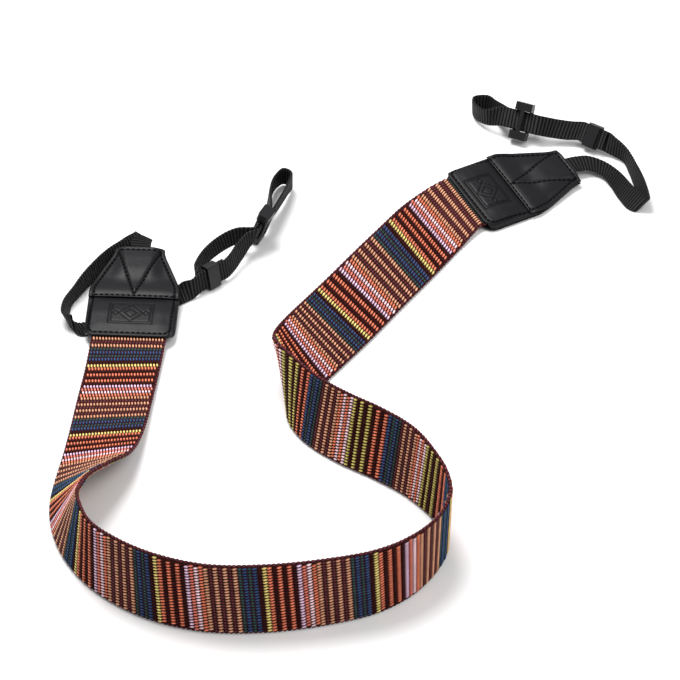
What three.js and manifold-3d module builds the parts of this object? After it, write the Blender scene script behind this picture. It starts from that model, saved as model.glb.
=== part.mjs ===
// A camera neck strap laid down on a table: a woven band between two stitched end tabs,
// each with a narrow webbing that runs through a keeper and a slide buckle to an eyelet loop.
// Millimetres, +Z up, the table is the plane Z = 0.

import * as THREE from "three";
import { mergeVertices } from "three/addons/utils/BufferGeometryUtils.js";
import Module from "manifold-3d";

// Driving dimensions, in millimetres.

// How far the whole strap spreads on the table, from side to side and from front to back.
const layBreadth = 270;
const layDepth = 490;

// Woven band.
const bandWidth = 38;
const bandThickness = 2.2;
const bandEdgeThickness = 1.5;
const bandInset = 12;

// Leather end tabs.
const tabLength = 64;
const tabWidth = 46;
const tabCornerRadius = 6;
const leatherThickness = 1.2;
const panelOverlap = 4;

// Narrow webbing.
const webbingWidth = 10.5;
const webbingThickness = 1.2;
const webbingInset = 15;

// Keeper sleeve.
const keeperLength = 7;
const keeperWall = 0.9;

// Slide buckle.
const buckleLength = 20;
const buckleDepth = 9.5;
const buckleBarWidth = 2.3;
const buckleBarThickness = 1.4;
const buckleRounding = 1.2;

// Clearances.
const pieceGap = 0.3;
const sideGap = 1;
const layerGap = 0.5;
const sleeveClearance = 0.4;

// Shape shares.
const seamShare = 0.41;
const tabProfile = {
  columns: ["along", "halfWidth"],
  rows: [
    [0.5, 1.0],
    [0.6, 0.935],
    [0.7, 0.83],
    [0.8, 0.72],
    [0.9, 0.61],
    [0.95, 0.57],
    [1.0, 0.555],
  ],
};

// Where the two tabs lie: the middle of each base edge, the direction in degrees in which its
// narrow end points, which side of the tab carries the band's foot edge, and how many degrees
// the other side is rolled up from the table.
const leftTabPlace = { x: -0.3915, y: -0.003, heading: 87, footSide: -1, roll: 0 };
const rightTabPlace = { x: 0.2423, y: 0.2183, heading: 30.2, footSide: 1, roll: 10 };

// The band's foot edge stands on the table all the way. x and y are shares of layBreadth and
// layDepth, and the section rises from the foot edge in the compass direction "toward", at
// "rise" degrees above the table.
const bandRoute = {
  columns: ["x", "y", "toward", "rise"],
  rows: [
    [-0.469, -0.043, 357, 3],
    [-0.48, -0.098, 357, 4],
    [-0.49, -0.151, 356, 8],
    [-0.499, -0.191, 350, 18],
    [-0.507, -0.221, 340, 35],
    [-0.512, -0.252, 333, 50],
    [-0.509, -0.281, 332, 60],
    [-0.496, -0.311, 345, 71],
    [-0.473, -0.34, 20, 79],
    [-0.435, -0.371, 50, 84],
    [-0.377, -0.401, 60, 83],
    [-0.308, -0.423, 72, 82],
    [-0.223, -0.436, 86, 82],
    [-0.119, -0.436, 95, 82],
    [-0.015, -0.425, 98, 84],
    [0.065, -0.409, 110, 87],
    [0.121, -0.386, 0, 90],
    [0.162, -0.356, 300, 87],
    [0.185, -0.321, 295, 86],
    [0.178, -0.29, 320, 86],
    [0.152, -0.266, 20, 84],
    [0.113, -0.241, 60, 77],
    [0.058, -0.217, 67, 73],
    [0.0, -0.195, 70, 72],
    [-0.05, -0.171, 72, 72],
    [-0.079, -0.149, 86, 68],
    [-0.092, -0.126, 104, 54],
    [-0.069, -0.105, 122, 45],
    [-0.019, -0.065, 138, 40],
    [0.058, -0.002, 146, 37],
    [0.119, 0.052, 144, 38],
    [0.183, 0.107, 141, 36],
    [0.231, 0.15, 131, 22],
  ],
};

// The webbings, in the plan of their own tab: "across" is a share of tabWidth to the right of
// the tab's axis, "along" a share of tabLength from its base, "height" a share of webbingWidth
// or the piece that lifts the foot edge there. "toward" turns with the tab: 90 is its axis.
const webbingColumns = ["name", "across", "along", "height", "toward", "rise"];
const leftWebbingOut = {
  columns: webbingColumns,
  rows: [
    ["rise to crease", 0.112, 1.085, 0.84, 173, 3],
    ["crease", 0.112, 1.14, 0.69, 157, 14],
    ["under crease", 0.069, 1.112, 0.46, 148, 35],
    ["shoulder", -0.129, 1.06, 0.12, 143, 66],
    ["shoulder end", -0.33, 0.945, 0, 150, 78],
    ["side", -0.505, 0.73, 0, 190, 80],
    ["side loop", -0.615, 0.57, 0, 241, 62],
    ["side loop far", -0.705, 0.39, 0, 243, 57],
    ["side loop near", -0.68, 0.2, 0, 225, 66],
    ["turning flat", -0.6, 0.095, 0, 150, 72],
    ["turned flat", -0.545, 0.045, 0, 124, 22],
    ["under tab", -0.475, 0.05, 0, 118, 1],
    ["under tab middle", -0.064, 0.18, 0, 115, 2],
    ["under tab end", 0.243, 0.32, 0, 115, 8],
    ["tab's edge", 0.493, 0.465, 0, 111, 12],
    ["rising", 0.643, 0.565, 0.04, 122, 76],
    ["keeper in", 0.771, 0.66, "keeper", 134, 78],
    ["keeper out", 0.933, 0.775, "keeper", 134, 78],
    ["eye start", 1.06, 0.9, 0.25, 150, 78],
    ["eye middle", 1.125, 1.02, 0.33, 159, 78],
    ["eye end", 1.19, 1.14, 0.46, 160, 88],
    ["buckle in", 1.262, 1.27, "buckle", 339, 70],
    ["buckle out", 1.346, 1.428, "buckle", 339, 70],
    ["lug loop", 1.444, 1.64, 0.42, 336, 74],
    ["lug loop far", 1.542, 1.9, 0.25, 336, 80],
    ["lug loop turn", 1.588, 2.06, 0.12, 103, 88],
    ["lug loop end", 1.494, 2.107, 0.1, 333, 88],
    ["lug loop return", 1.399, 2.01, 0.13, 333, 84],
    ["lug loop back", 1.357, 1.77, 0.34, 348, 82],
  ],
};
const leftWebbingBack = {
  columns: webbingColumns,
  rows: [
    ["arc start", 1.06, 1.2, 0.48, 230, 86],
    ["arc", 0.927, 1.125, 0.42, 213, 75],
    ["arc middle", 0.779, 1.0, 0.33, 228, 72],
    ["arc end", 0.685, 0.863, 0.26, 243, 74],
    ["arc turn", 0.665, 0.76, 0.25, 238, 80],
    ["arc tuck", 0.69, 0.69, 0.25, 134, 84],
  ],
};
const rightWebbingOut = {
  columns: webbingColumns,
  rows: [
    ["hump", 0.13, 1.08, 0.4, 165, 9],
    ["hump end", 0.16, 1.145, 0.34, 158, 10],
    ["turning", 0.262, 1.2, 0.22, 140, 8],
    ["turned", 0.42, 1.205, 0.08, 120, 14],
    ["down", 0.68, 1.175, 0, 102, 34],
    ["crease", 0.91, 1.165, 0, 90, 40],
    ["crease turn", 0.98, 1.198, 0, 60, 50],
    ["crease back", 0.905, 1.263, 0, 32, 55],
    ["return", 0.6, 1.375, 0, 18, 57],
    ["return middle", 0.33, 1.452, 0, 5, 64],
    ["bend", 0.13, 1.491, 0.04, 360, 78],
    ["keeper near", -0.028, 1.438, 0.15, 118, 72],
    ["keeper in", -0.182, 1.374, "keeper", 116, 53],
    ["keeper out", -0.365, 1.318, "keeper", 116, 53],
    ["double start", -0.51, 1.215, 0.26, 117, 52],
    ["double", -0.62, 1.1, 0.36, 117, 52],
    ["buckle in", -0.76, 0.965, "buckle", 130, 56],
    ["buckle out", -0.95, 0.87, "buckle", 130, 56],
    ["lug loop", -1.16, 0.85, 0.34, 110, 66],
    ["lug loop far", -1.36, 0.874, 0.15, 95, 80],
    ["lug loop turn", -1.52, 0.878, 0.08, 60, 85],
    ["lug loop end", -1.57, 0.79, 0.07, 240, 88],
    ["lug loop return", -1.44, 0.742, 0.12, 280, 86],
    ["lug loop back", -1.22, 0.757, 0.3, 285, 84],
  ],
};

// Sampling of the faceted solids, in millimetres between sections.
const bandStep = 5.5;
const webbingStep = 3.6;

// How far past a sleeve the webbing stays in line with it, as a share of the sleeve's run.
const guardShare = 0.35;

const up = new THREE.Vector3(0, 0, 1);
const radians = THREE.MathUtils.degToRad;

function readTable(table) {
  return table.rows.map((row) =>
    Object.fromEntries(table.columns.map((column, i) => [column, row[i]]))
  );
}

function direction(toward, rise) {
  const level = Math.cos(radians(rise));
  return new THREE.Vector3(
    level * Math.cos(radians(toward)),
    level * Math.sin(radians(toward)),
    Math.sin(radians(rise))
  );
}

// A closed solid from rings of points, each ring with the same number of points. Both ends are
// closed by a strip of facets between the ring's first half and its second half.
function solidFromRings(rings) {
  const count = rings[0].length;
  const positions = [];
  rings.forEach((ring) => ring.forEach((p) => positions.push(p.x, p.y, p.z)));
  const index = [];
  for (let i = 0; i + 1 < rings.length; i++) {
    for (let j = 0; j < count; j++) {
      const a = i * count + j;
      const b = i * count + ((j + 1) % count);
      index.push(a, a + count, b, b, a + count, b + count);
    }
  }
  const last = (rings.length - 1) * count;
  for (let j = 0; j + 1 < count / 2; j++) {
    const k = count - 1 - j;
    index.push(j, j + 1, k - 1, j, k - 1, k);
    index.push(last + j, last + k - 1, last + j + 1, last + j, last + k, last + k - 1);
  }
  const geometry = new THREE.BufferGeometry();
  geometry.setAttribute("position", new THREE.Float32BufferAttribute(positions, 3));
  geometry.setIndex(index);
  return facingOut(geometry);
}

// Turns every face round when the solid's signed volume is negative.
function facingOut(geometry) {
  const p = geometry.attributes.position;
  const index = geometry.index.array;
  const corner = [0, 1, 2].map(() => new THREE.Vector3());
  let volume = 0;
  for (let i = 0; i < index.length; i += 3) {
    corner.forEach((c, k) => c.fromBufferAttribute(p, index[i + k]));
    volume += corner[0].dot(corner[1].clone().cross(corner[2])) / 6;
  }
  if (volume < 0) {
    for (let i = 0; i < index.length; i += 3) {
      [index[i + 1], index[i + 2]] = [index[i + 2], index[i + 1]];
    }
  }
  return geometry;
}

// Sections of a ribbon along its stations. A station has the foot point of the section's middle
// line and the unit direction in which the section rises from it.
function ribbonSections(stations, width, step) {
  const foot = new THREE.CatmullRomCurve3(stations.map((s) => s.foot), false, "centripetal");
  const top = new THREE.CatmullRomCurve3(
    stations.map((s) => s.foot.clone().addScaledVector(s.rise, width)),
    false,
    "centripetal"
  );
  const samples = [];
  const segments = stations.length - 1;
  for (let i = 0; i < segments; i++) {
    const reach = Math.max(
      foot.points[i].distanceTo(foot.points[i + 1]),
      top.points[i].distanceTo(top.points[i + 1])
    );
    const parts = Math.max(2, Math.ceil(reach / step));
    for (let k = 0; k < parts; k++) {
      samples.push((i + k / parts) / segments);
    }
  }
  samples.push(1);
  const lower = samples.map((t) => foot.getPoint(t));
  const rise = samples.map((t, i) => top.getPoint(t).sub(lower[i]).normalize());
  const upper = lower.map((p, i) => p.clone().addScaledVector(rise[i], width));
  const along = (line, i) =>
    line[Math.min(i + 1, line.length - 1)].clone().sub(line[Math.max(i - 1, 0)]);
  return samples.map((t, i) => ({
    foot: lower[i],
    top: upper[i],
    footNormal: along(lower, i).cross(rise[i]).normalize(),
    topNormal: along(upper, i).cross(rise[i]).normalize(),
  }));
}

// The outline of a ribbon's section has shares of its width and distances from its middle line.
function ribbonSolid(sections, outline) {
  const rings = sections.map((s) => {
    const ring = outline.map(([share, half]) => {
      const normal = s.footNormal.clone().lerp(s.topNormal, share).normalize();
      return s.foot.clone().lerp(s.top, share).addScaledVector(normal, half);
    });
    return seatedRing(ring);
  });
  return solidFromRings(rings);
}

// No section reaches below the table.
function seatedRing(ring) {
  const lowest = Math.min(...ring.map((p) => p.z));
  ring.forEach((p) => p.setZ(p.z - Math.min(0, lowest)));
  return ring;
}

// A section with thinner selvedges on both sides.
function bandOutline() {
  const half = bandThickness / 2;
  const thin = bandEdgeThickness / 2;
  const bevel = bandThickness / bandWidth / 2;
  const sideUp = [[0, thin], [bevel, half], [0.5, half], [1 - bevel, half], [1, thin]];
  return [...sideUp, ...sideUp.map(([share, h]) => [share, -h]).reverse()];
}

function webbingOutline() {
  const half = webbingThickness / 2;
  return [[0, half], [1, half], [1, -half], [0, -half]];
}

// A ribbon's foot point lies half its thickness above the table when the section lies flat.
function seatedFoot(x, y, height, rise, thickness) {
  const lift = (thickness / 2) * Math.sqrt(1 - rise.z * rise.z);
  return new THREE.Vector3(x, y, height + lift);
}

// A tab's own frame: X across it, Y from its base to its narrow end, Z out of its front.
function tabFrame(place, baseLift, endLift) {
  const rollLift = (tabWidth / 2) * Math.sin(radians(place.roll));
  const origin = new THREE.Vector3(place.x * layBreadth, place.y * layDepth, baseLift + rollLift);
  const tilt = Math.asin((endLift - baseLift) / tabLength);
  const level = direction(place.heading, 0);
  const alongTab = level.clone().multiplyScalar(Math.cos(tilt)).addScaledVector(up, Math.sin(tilt));
  const across = direction(place.heading - 90, -place.footSide * place.roll);
  const out = across.clone().cross(alongTab).normalize();
  return new THREE.Matrix4().makeBasis(across, alongTab, out).setPosition(origin);
}

function halfWidthAt(v) {
  const full = tabWidth / 2;
  if (v < tabCornerRadius) {
    const rise = tabCornerRadius - v;
    return full - tabCornerRadius + Math.sqrt(tabCornerRadius ** 2 - rise ** 2);
  }
  const rows = readTable(tabProfile);
  const share = v / tabLength;
  if (share <= rows[0].along) return full;
  const next = rows.findIndex((row) => row.along >= share - 1e-9);
  const a = rows[next - 1];
  const b = rows[next];
  const t = (share - a.along) / (b.along - a.along);
  return full * THREE.MathUtils.lerp(a.halfWidth, b.halfWidth, t);
}

// 1 while the distance is under "flat", falling to 0 at "end".
function shoulder(distance, flat, end) {
  return 1 - THREE.MathUtils.smoothstep(distance, flat, end);
}

// A leather sheet between two distances along the tab. underside(u, v) is its lower face.
function leatherSheet(from, to, underside) {
  const corner = [0, 0.08, 0.3, 0.65, 1].map((s) => s * tabCornerRadius);
  const breaks = tabProfile.rows.map(([along]) => along * tabLength);
  const inner = [
    bandInset,
    bandInset + 2 * bandThickness,
    seamShare * tabLength,
    seamShare * tabLength + panelOverlap,
    seamShare * tabLength + panelOverlap + 3 * leatherThickness,
    tabLength - webbingInset - 3 * webbingThickness,
    tabLength - webbingInset,
  ];
  const places = [...corner, ...breaks, ...inner].filter((v) => v > from && v < to);
  const vs = [from, ...places, to]
    .sort((a, b) => a - b)
    .filter((v, i, all) => !i || v - all[i - 1] > 0.4);
  const shares = [-1, -0.955, -0.9, -0.82, -0.42, -0.3, 0, 0.3, 0.42, 0.82, 0.9, 0.955, 1];
  const rings = vs.map((v) => {
    const half = halfWidthAt(v);
    const low = shares.map((s) => new THREE.Vector3(s * half, v, underside(s * half, v)));
    const high = low.map((p) => p.clone().setZ(p.z + leatherThickness)).reverse();
    return [...low, ...high];
  });
  return solidFromRings(rings);
}

function mesh(name, geometry, material, matrix) {
  const piece = new THREE.Mesh(geometry, material);
  piece.name = name;
  if (matrix) piece.applyMatrix4(matrix);
  return piece;
}

const leather = new THREE.MeshStandardMaterial({ color: 0x2b2b2f, roughness: 0.55, metalness: 0 });
const woven = new THREE.MeshStandardMaterial({ color: 0x8f4f3c, roughness: 0.9, metalness: 0 });
const nylon = new THREE.MeshStandardMaterial({ color: 0x17171a, roughness: 0.75, metalness: 0 });
const plastic = new THREE.MeshStandardMaterial({ color: 0x1b1b1e, roughness: 0.4, metalness: 0 });

// Heights in a tab's own frame.
const bandLevel = leatherThickness + pieceGap;
const webbingLevel = leatherThickness + pieceGap + webbingThickness / 2;

function tabMeshes(side, frame) {
  const bandRaise = bandThickness + pieceGap;
  const webbingRaise = webbingThickness + pieceGap;
  const panelRaise = leatherThickness + pieceGap;
  const seam = seamShare * tabLength;
  const overBand = (u, v) =>
    shoulder(Math.abs(u), bandWidth / 2 + sideGap, bandWidth / 2 + sideGap + bandThickness) *
    shoulder(v, bandInset, bandInset + 2 * bandThickness);
  const overWebbing = (u, v) =>
    shoulder(Math.abs(u), webbingWidth / 2 + sideGap, webbingWidth / 2 + sideGap + 3 * webbingThickness) *
    shoulder(tabLength - v, webbingInset, webbingInset + 3 * webbingThickness);
  const overPanel = (v) =>
    shoulder(v, seam + panelOverlap, seam + panelOverlap + 3 * leatherThickness);
  const back = leatherSheet(0, tabLength, () => 0);
  const lower = leatherSheet(0, seam + panelOverlap, (u, v) => bandLevel + bandRaise * overBand(u, v));
  const upper = leatherSheet(
    seam,
    tabLength,
    (u, v) => bandLevel + Math.max(webbingRaise * overWebbing(u, v), panelRaise * overPanel(v))
  );
  return [
    mesh(`${side}_tab_back`, back, leather, frame),
    mesh(`${side}_tab_lower_panel`, lower, leather, frame),
    mesh(`${side}_tab_upper_panel`, upper, leather, frame),
  ];
}

// Stations of the band's end inside a tab: at its cut end, where it leaves the tab and just past it.
function bandEndStations(place, frame) {
  const side = place.footSide;
  const rise = new THREE.Vector3(-side, 0, 0).transformDirection(frame);
  const level = bandLevel + bandThickness / 2;
  return [bandInset, 0, -bandThickness].map((v) => ({
    foot: new THREE.Vector3((side * bandWidth) / 2, v, level).applyMatrix4(frame),
    rise,
  }));
}

function bandStations(leftFrame, rightFrame) {
  const free = readTable(bandRoute).map((row) => {
    const rise = direction(row.toward, row.rise);
    return { foot: seatedFoot(row.x * layBreadth, row.y * layDepth, 0, rise, bandThickness), rise };
  });
  return [
    ...bandEndStations(leftTabPlace, leftFrame),
    ...free,
    ...bandEndStations(rightTabPlace, rightFrame).reverse(),
  ];
}

// How high a sleeve or a buckle holds the webbing's foot edge above the table.
function heldLift(row) {
  const steep = Math.sin(radians(row.rise));
  const level = Math.cos(radians(row.rise));
  const stack = 2 * webbingThickness + layerGap + 2 * sleeveClearance;
  if (row.height === "keeper") {
    return (keeperWall + sleeveClearance) * steep + (stack / 2 + keeperWall) * level;
  }
  const overhang = (buckleLength - webbingWidth) / 2;
  return overhang * steep + (stack / 2 + buckleBarThickness) * level;
}

// A webbing's stations from its table, in the plan of its tab.
function webbingStations(place, table) {
  const plan = new THREE.Matrix4()
    .makeRotationZ(radians(place.heading - 90))
    .setPosition(place.x * layBreadth, place.y * layDepth, 0);
  const stations = readTable(table).map((row) => {
    const rise = direction(row.toward + place.heading - 90, row.rise);
    const held = typeof row.height === "string";
    const height = held ? heldLift(row) : row.height * webbingWidth;
    const foot = seatedFoot(row.across * tabWidth, row.along * tabLength, height, rise, webbingThickness);
    return { name: row.name, foot: foot.applyMatrix4(plan), rise };
  });
  return stations.flatMap((station, i) => {
    if (/ in$/.test(station.name)) return [guard(station, stations[i + 1], "before"), station];
    if (/ out$/.test(station.name)) return [station, guard(station, stations[i - 1], "after")];
    return [station];
  });
}

// One more station in line with a sleeve's two, so that the webbing runs straight through it.
function guard(station, other, side) {
  const away = station.foot.clone().sub(other.foot);
  return {
    name: `${station.name.split(" ")[0]} ${side}`,
    foot: station.foot.clone().addScaledVector(away, guardShare),
    rise: station.rise,
  };
}

// The webbing's end between the tab's back and its upper panel.
function webbingEndStations(frame) {
  const rise = new THREE.Vector3(-1, 0, 0).transformDirection(frame);
  return [tabLength - webbingInset, tabLength, tabLength + webbingThickness].map((v) => ({
    foot: new THREE.Vector3(webbingWidth / 2, v, webbingLevel).applyMatrix4(frame),
    rise,
  }));
}

// The second layer beside a station of the first, on the side away from the section's normal.
function beside(stations, name) {
  const i = stations.findIndex((s) => s.name === name);
  const alongStrap = stations[i + 1].foot.clone().sub(stations[i - 1].foot);
  const normal = alongStrap.cross(stations[i].rise).normalize();
  return {
    foot: stations[i].foot.clone().addScaledVector(normal, -(webbingThickness + layerGap)),
    rise: stations[i].rise.clone(),
  };
}

// The frame of a sleeve or buckle: X along the webbing, Y up its width, Z through the layers.
function hardwareFrame(stations, from, to) {
  const a = stations.find((s) => s.name === from);
  const b = stations.find((s) => s.name === to);
  const alongStrap = b.foot.clone().sub(a.foot).normalize();
  const rise = a.rise.clone().add(b.rise).normalize();
  const normal = alongStrap.clone().cross(rise).normalize();
  const across = normal.clone().cross(alongStrap).normalize();
  const centre = a.foot.clone().add(b.foot).multiplyScalar(0.5);
  centre.addScaledVector(across, webbingWidth / 2);
  centre.addScaledVector(normal, -(webbingThickness + layerGap) / 2);
  return new THREE.Matrix4().makeBasis(alongStrap, across, normal).setPosition(centre);
}

function roundedRectangle(width, height, radius) {
  const x = width / 2;
  const y = height / 2;
  const r = Math.min(radius, x * 0.98, y * 0.98);
  const shape = new THREE.Shape();
  shape.moveTo(x - r, -y);
  shape.absarc(x - r, -y + r, r, -Math.PI / 2, 0);
  shape.absarc(x - r, y - r, r, 0, Math.PI / 2);
  shape.absarc(-x + r, y - r, r, Math.PI / 2, Math.PI);
  shape.absarc(-x + r, -y + r, r, Math.PI, Math.PI * 1.5);
  shape.closePath();
  return shape;
}

const kernel = await Module();
kernel.setup();

function toKernel(geometry) {
  const bare = new THREE.BufferGeometry();
  bare.setAttribute("position", geometry.attributes.position);
  if (geometry.index) bare.setIndex(geometry.index);
  const merged = mergeVertices(bare, 1e-4);
  return new kernel.Manifold(
    new kernel.Mesh({
      numProp: 3,
      vertProperties: new Float32Array(merged.attributes.position.array),
      triVerts: new Uint32Array(merged.index.array),
    })
  );
}

function fromKernel(solid) {
  const result = solid.getMesh();
  const geometry = new THREE.BufferGeometry();
  geometry.setAttribute("position", new THREE.BufferAttribute(result.vertProperties, 3));
  geometry.setIndex(new THREE.BufferAttribute(result.triVerts, 1));
  return geometry;
}

// Space for both layers of webbing, through a sleeve or a buckle.
const stackHeight = 2 * webbingThickness + layerGap + 2 * sleeveClearance;
const slotWidth = webbingWidth + 2 * sleeveClearance;

function keeperGeometry() {
  const wall = 2 * keeperWall;
  const shape = roundedRectangle(slotWidth + wall, stackHeight + wall, keeperWall);
  const hole = roundedRectangle(slotWidth, stackHeight, keeperWall / 3);
  shape.holes.push(new THREE.Path(hole.getPoints(2)));
  const sleeve = new THREE.ExtrudeGeometry(shape, {
    depth: keeperLength,
    bevelEnabled: false,
    curveSegments: 3,
  });
  // The extrusion runs along Z, so it is turned to run along X with its width along Y.
  sleeve.translate(0, 0, -keeperLength / 2);
  const turn = new THREE.Matrix4().makeBasis(
    new THREE.Vector3(0, 1, 0),
    new THREE.Vector3(0, 0, 1),
    new THREE.Vector3(1, 0, 0)
  );
  return fromKernel(toKernel(sleeve.applyMatrix4(turn)));
}

// A bar of the buckle, which runs along Y.
function buckleBar(width, height, length, x, y, z) {
  const bar = new THREE.ExtrudeGeometry(roundedRectangle(width, height, buckleRounding), {
    depth: length,
    bevelEnabled: false,
    curveSegments: 3,
  });
  bar.translate(0, 0, -length / 2);
  const turn = new THREE.Matrix4().makeBasis(
    new THREE.Vector3(1, 0, 0),
    new THREE.Vector3(0, 0, -1),
    new THREE.Vector3(0, 1, 0)
  );
  return toKernel(bar.applyMatrix4(turn).translate(x, y, z));
}

// Two outer bars over the webbing, the middle bar under it, and the blocks that join them.
function buckleGeometry() {
  const barLevel = (stackHeight + buckleBarThickness) / 2;
  const outer = (buckleDepth - buckleBarWidth) / 2;
  const block = (buckleLength - slotWidth) / 2;
  const thickness = stackHeight + 2 * buckleBarThickness;
  const parts = [
    ...[-1, 1].map((s) =>
      buckleBar(buckleBarWidth, buckleBarThickness, buckleLength - block, s * outer, 0, barLevel)
    ),
    buckleBar(buckleBarWidth, buckleBarThickness, buckleLength - block, 0, 0, -barLevel),
    ...[-1, 1].map((s) =>
      buckleBar(buckleDepth, thickness, block, 0, (s * (slotWidth + block)) / 2, 0)
    ),
  ];
  return fromKernel(parts.reduce((whole, part) => whole.add(part)));
}

function strapEnd(side, place, frame, outTable, backStations) {
  const out = webbingStations(place, outTable);
  const route = [...webbingEndStations(frame), ...out, ...backStations(out)];
  const webbing = ribbonSolid(ribbonSections(route, webbingWidth, webbingStep), webbingOutline());
  const keeperAt = hardwareFrame(out, "keeper in", "keeper out");
  const buckleAt = hardwareFrame(out, "buckle in", "buckle out");
  return [
    ...tabMeshes(side, frame),
    mesh(`${side}_webbing`, webbing, nylon),
    mesh(`${side}_keeper`, keeperGeometry(), plastic, keeperAt),
    mesh(`${side}_buckle`, buckleGeometry(), plastic, buckleAt),
  ];
}

// The left webbing comes back in an open arc beside the first run and tucks into its keeper.
function leftBack(out) {
  return [
    ...["buckle after", "buckle out", "buckle in", "buckle before"].map((name) => beside(out, name)),
    ...webbingStations(leftTabPlace, leftWebbingBack),
    ...["keeper before", "keeper in", "keeper out", "keeper after"].map((name) => beside(out, name)),
  ];
}

// The right webbing comes back along the first run, layer on layer.
function rightBack(out) {
  const names = [
    ...["buckle after", "buckle out", "buckle in", "buckle before"],
    ...["double", "double start"],
    ...["keeper after", "keeper out", "keeper in", "keeper before"],
  ];
  return names.map((name) => beside(out, name));
}

// The left tab lies on its own webbing, which lifts it, and the right tab lies on the table.
const leftFrame = tabFrame(leftTabPlace, webbingThickness + 3 * pieceGap, 0.7 * webbingWidth);
const rightFrame = tabFrame(rightTabPlace, 0, 0);

const strap = new THREE.Group();
const bandSections = ribbonSections(bandStations(leftFrame, rightFrame), bandWidth, bandStep);
strap.add(mesh("woven_band", ribbonSolid(bandSections, bandOutline()), woven));
strap.add(...strapEnd("left", leftTabPlace, leftFrame, leftWebbingOut, leftBack));
strap.add(...strapEnd("right", rightTabPlace, rightFrame, rightWebbingOut, rightBack));

// The origin is the middle of the strap's own box, on the table.
strap.updateMatrixWorld(true);
const box = new THREE.Box3().setFromObject(strap, true);
strap.position.set(-(box.min.x + box.max.x) / 2, -(box.min.y + box.max.y) / 2, -box.min.z);

export default strap;
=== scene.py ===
"""Dresses a neck strap that lies in an S on a table: its woven band, leather end tabs, webbing,
keepers and slide buckles, with a stage to show it on."""

import math
import random

import bmesh
import bpy
from mathutils import Matrix, Vector


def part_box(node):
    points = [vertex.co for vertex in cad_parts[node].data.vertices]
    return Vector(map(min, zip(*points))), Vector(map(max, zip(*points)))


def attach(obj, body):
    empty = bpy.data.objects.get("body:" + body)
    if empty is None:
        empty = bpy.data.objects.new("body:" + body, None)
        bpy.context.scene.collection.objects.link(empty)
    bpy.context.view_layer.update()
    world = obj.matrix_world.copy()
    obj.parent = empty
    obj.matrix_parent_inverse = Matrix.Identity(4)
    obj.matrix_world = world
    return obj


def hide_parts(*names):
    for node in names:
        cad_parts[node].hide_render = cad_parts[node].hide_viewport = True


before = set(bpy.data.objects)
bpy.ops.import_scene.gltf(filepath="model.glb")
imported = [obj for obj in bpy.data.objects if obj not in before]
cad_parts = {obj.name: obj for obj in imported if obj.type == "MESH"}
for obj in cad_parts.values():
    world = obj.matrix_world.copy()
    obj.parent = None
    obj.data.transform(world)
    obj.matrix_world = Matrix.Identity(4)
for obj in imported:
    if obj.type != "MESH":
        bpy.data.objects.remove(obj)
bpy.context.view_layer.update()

bl_info = {
    "name": "Laid Neck Strap",
    "version": (1, 0, 0),
    "blender": (4, 5, 0),
    "location": "3D View > Sidebar > Strap",
    "description": "Dresses a woven neck strap with leather tabs, webbing and slide buckles",
    "category": "Add Mesh",
}

# The strap's driving dimensions in metres, and two shares, as in the part's source.
LAY_BREADTH = 0.270
LAY_DEPTH = 0.490
BAND_WIDTH = 0.038
BAND_THICKNESS = 0.0022
BAND_INSET = 0.012
TAB_LENGTH = 0.064
TAB_WIDTH = 0.046
TAB_CORNER_RADIUS = 0.006
LEATHER_THICKNESS = 0.0012
PANEL_OVERLAP = 0.004
WEBBING_WIDTH = 0.0105
WEBBING_THICKNESS = 0.0012
WEBBING_INSET = 0.015
KEEPER_WALL = 0.0009
BUCKLE_LENGTH = 0.020
BUCKLE_BAR_THICKNESS = 0.0014
PIECE_GAP = 0.0003
SIDE_GAP = 0.001
LAYER_GAP = 0.0005
SLEEVE_CLEARANCE = 0.0004
SEAM_SHARE = 0.41
GUARD_SHARE = 0.35

# Half the tab's width, as shares of TAB_LENGTH and of half of TAB_WIDTH.
TAB_PROFILE = [
    (0.5, 1.0),
    (0.6, 0.935),
    (0.7, 0.83),
    (0.8, 0.72),
    (0.9, 0.61),
    (0.95, 0.57),
    (1.0, 0.555),
]

# Each tab's base in shares of the plan, its heading and roll in degrees, the side on which the
# band's foot edge lies, and how far its front reaches past the back's base edge.
LEFT_TAB_PLACE = {
    "x": -0.3915, "y": -0.003, "heading": 87, "foot_side": -1, "roll": 0, "skirt": 0.0032,
}
RIGHT_TAB_PLACE = {
    "x": 0.2423, "y": 0.2183, "heading": 30.2, "foot_side": 1, "roll": 10, "skirt": 0.0,
}

# The band's foot edge: x and y as shares of the plan, then the compass direction towards which
# the section rises and the angle at which it rises above the table.
BAND_ROUTE = [
    (-0.469, -0.043, 357, 3),
    (-0.48, -0.098, 357, 4),
    (-0.49, -0.151, 356, 8),
    (-0.499, -0.191, 350, 18),
    (-0.507, -0.221, 340, 35),
    (-0.512, -0.252, 333, 50),
    (-0.509, -0.281, 332, 60),
    (-0.496, -0.311, 345, 71),
    (-0.473, -0.34, 20, 79),
    (-0.435, -0.371, 50, 84),
    (-0.377, -0.401, 60, 83),
    (-0.308, -0.423, 72, 82),
    (-0.223, -0.436, 86, 82),
    (-0.119, -0.436, 95, 82),
    (-0.015, -0.425, 98, 84),
    (0.065, -0.409, 110, 87),
    (0.121, -0.386, 0, 90),
    (0.162, -0.356, 300, 87),
    (0.185, -0.321, 295, 86),
    (0.178, -0.29, 320, 86),
    (0.152, -0.266, 20, 84),
    (0.113, -0.241, 60, 77),
    (0.058, -0.217, 67, 73),
    (0.0, -0.195, 70, 72),
    (-0.05, -0.171, 72, 72),
    (-0.079, -0.149, 86, 68),
    (-0.092, -0.126, 104, 54),
    (-0.069, -0.105, 122, 45),
    (-0.019, -0.065, 138, 40),
    (0.058, -0.002, 146, 37),
    (0.119, 0.052, 144, 38),
    (0.183, 0.107, 141, 36),
    (0.231, 0.15, 131, 22),
]

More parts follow.
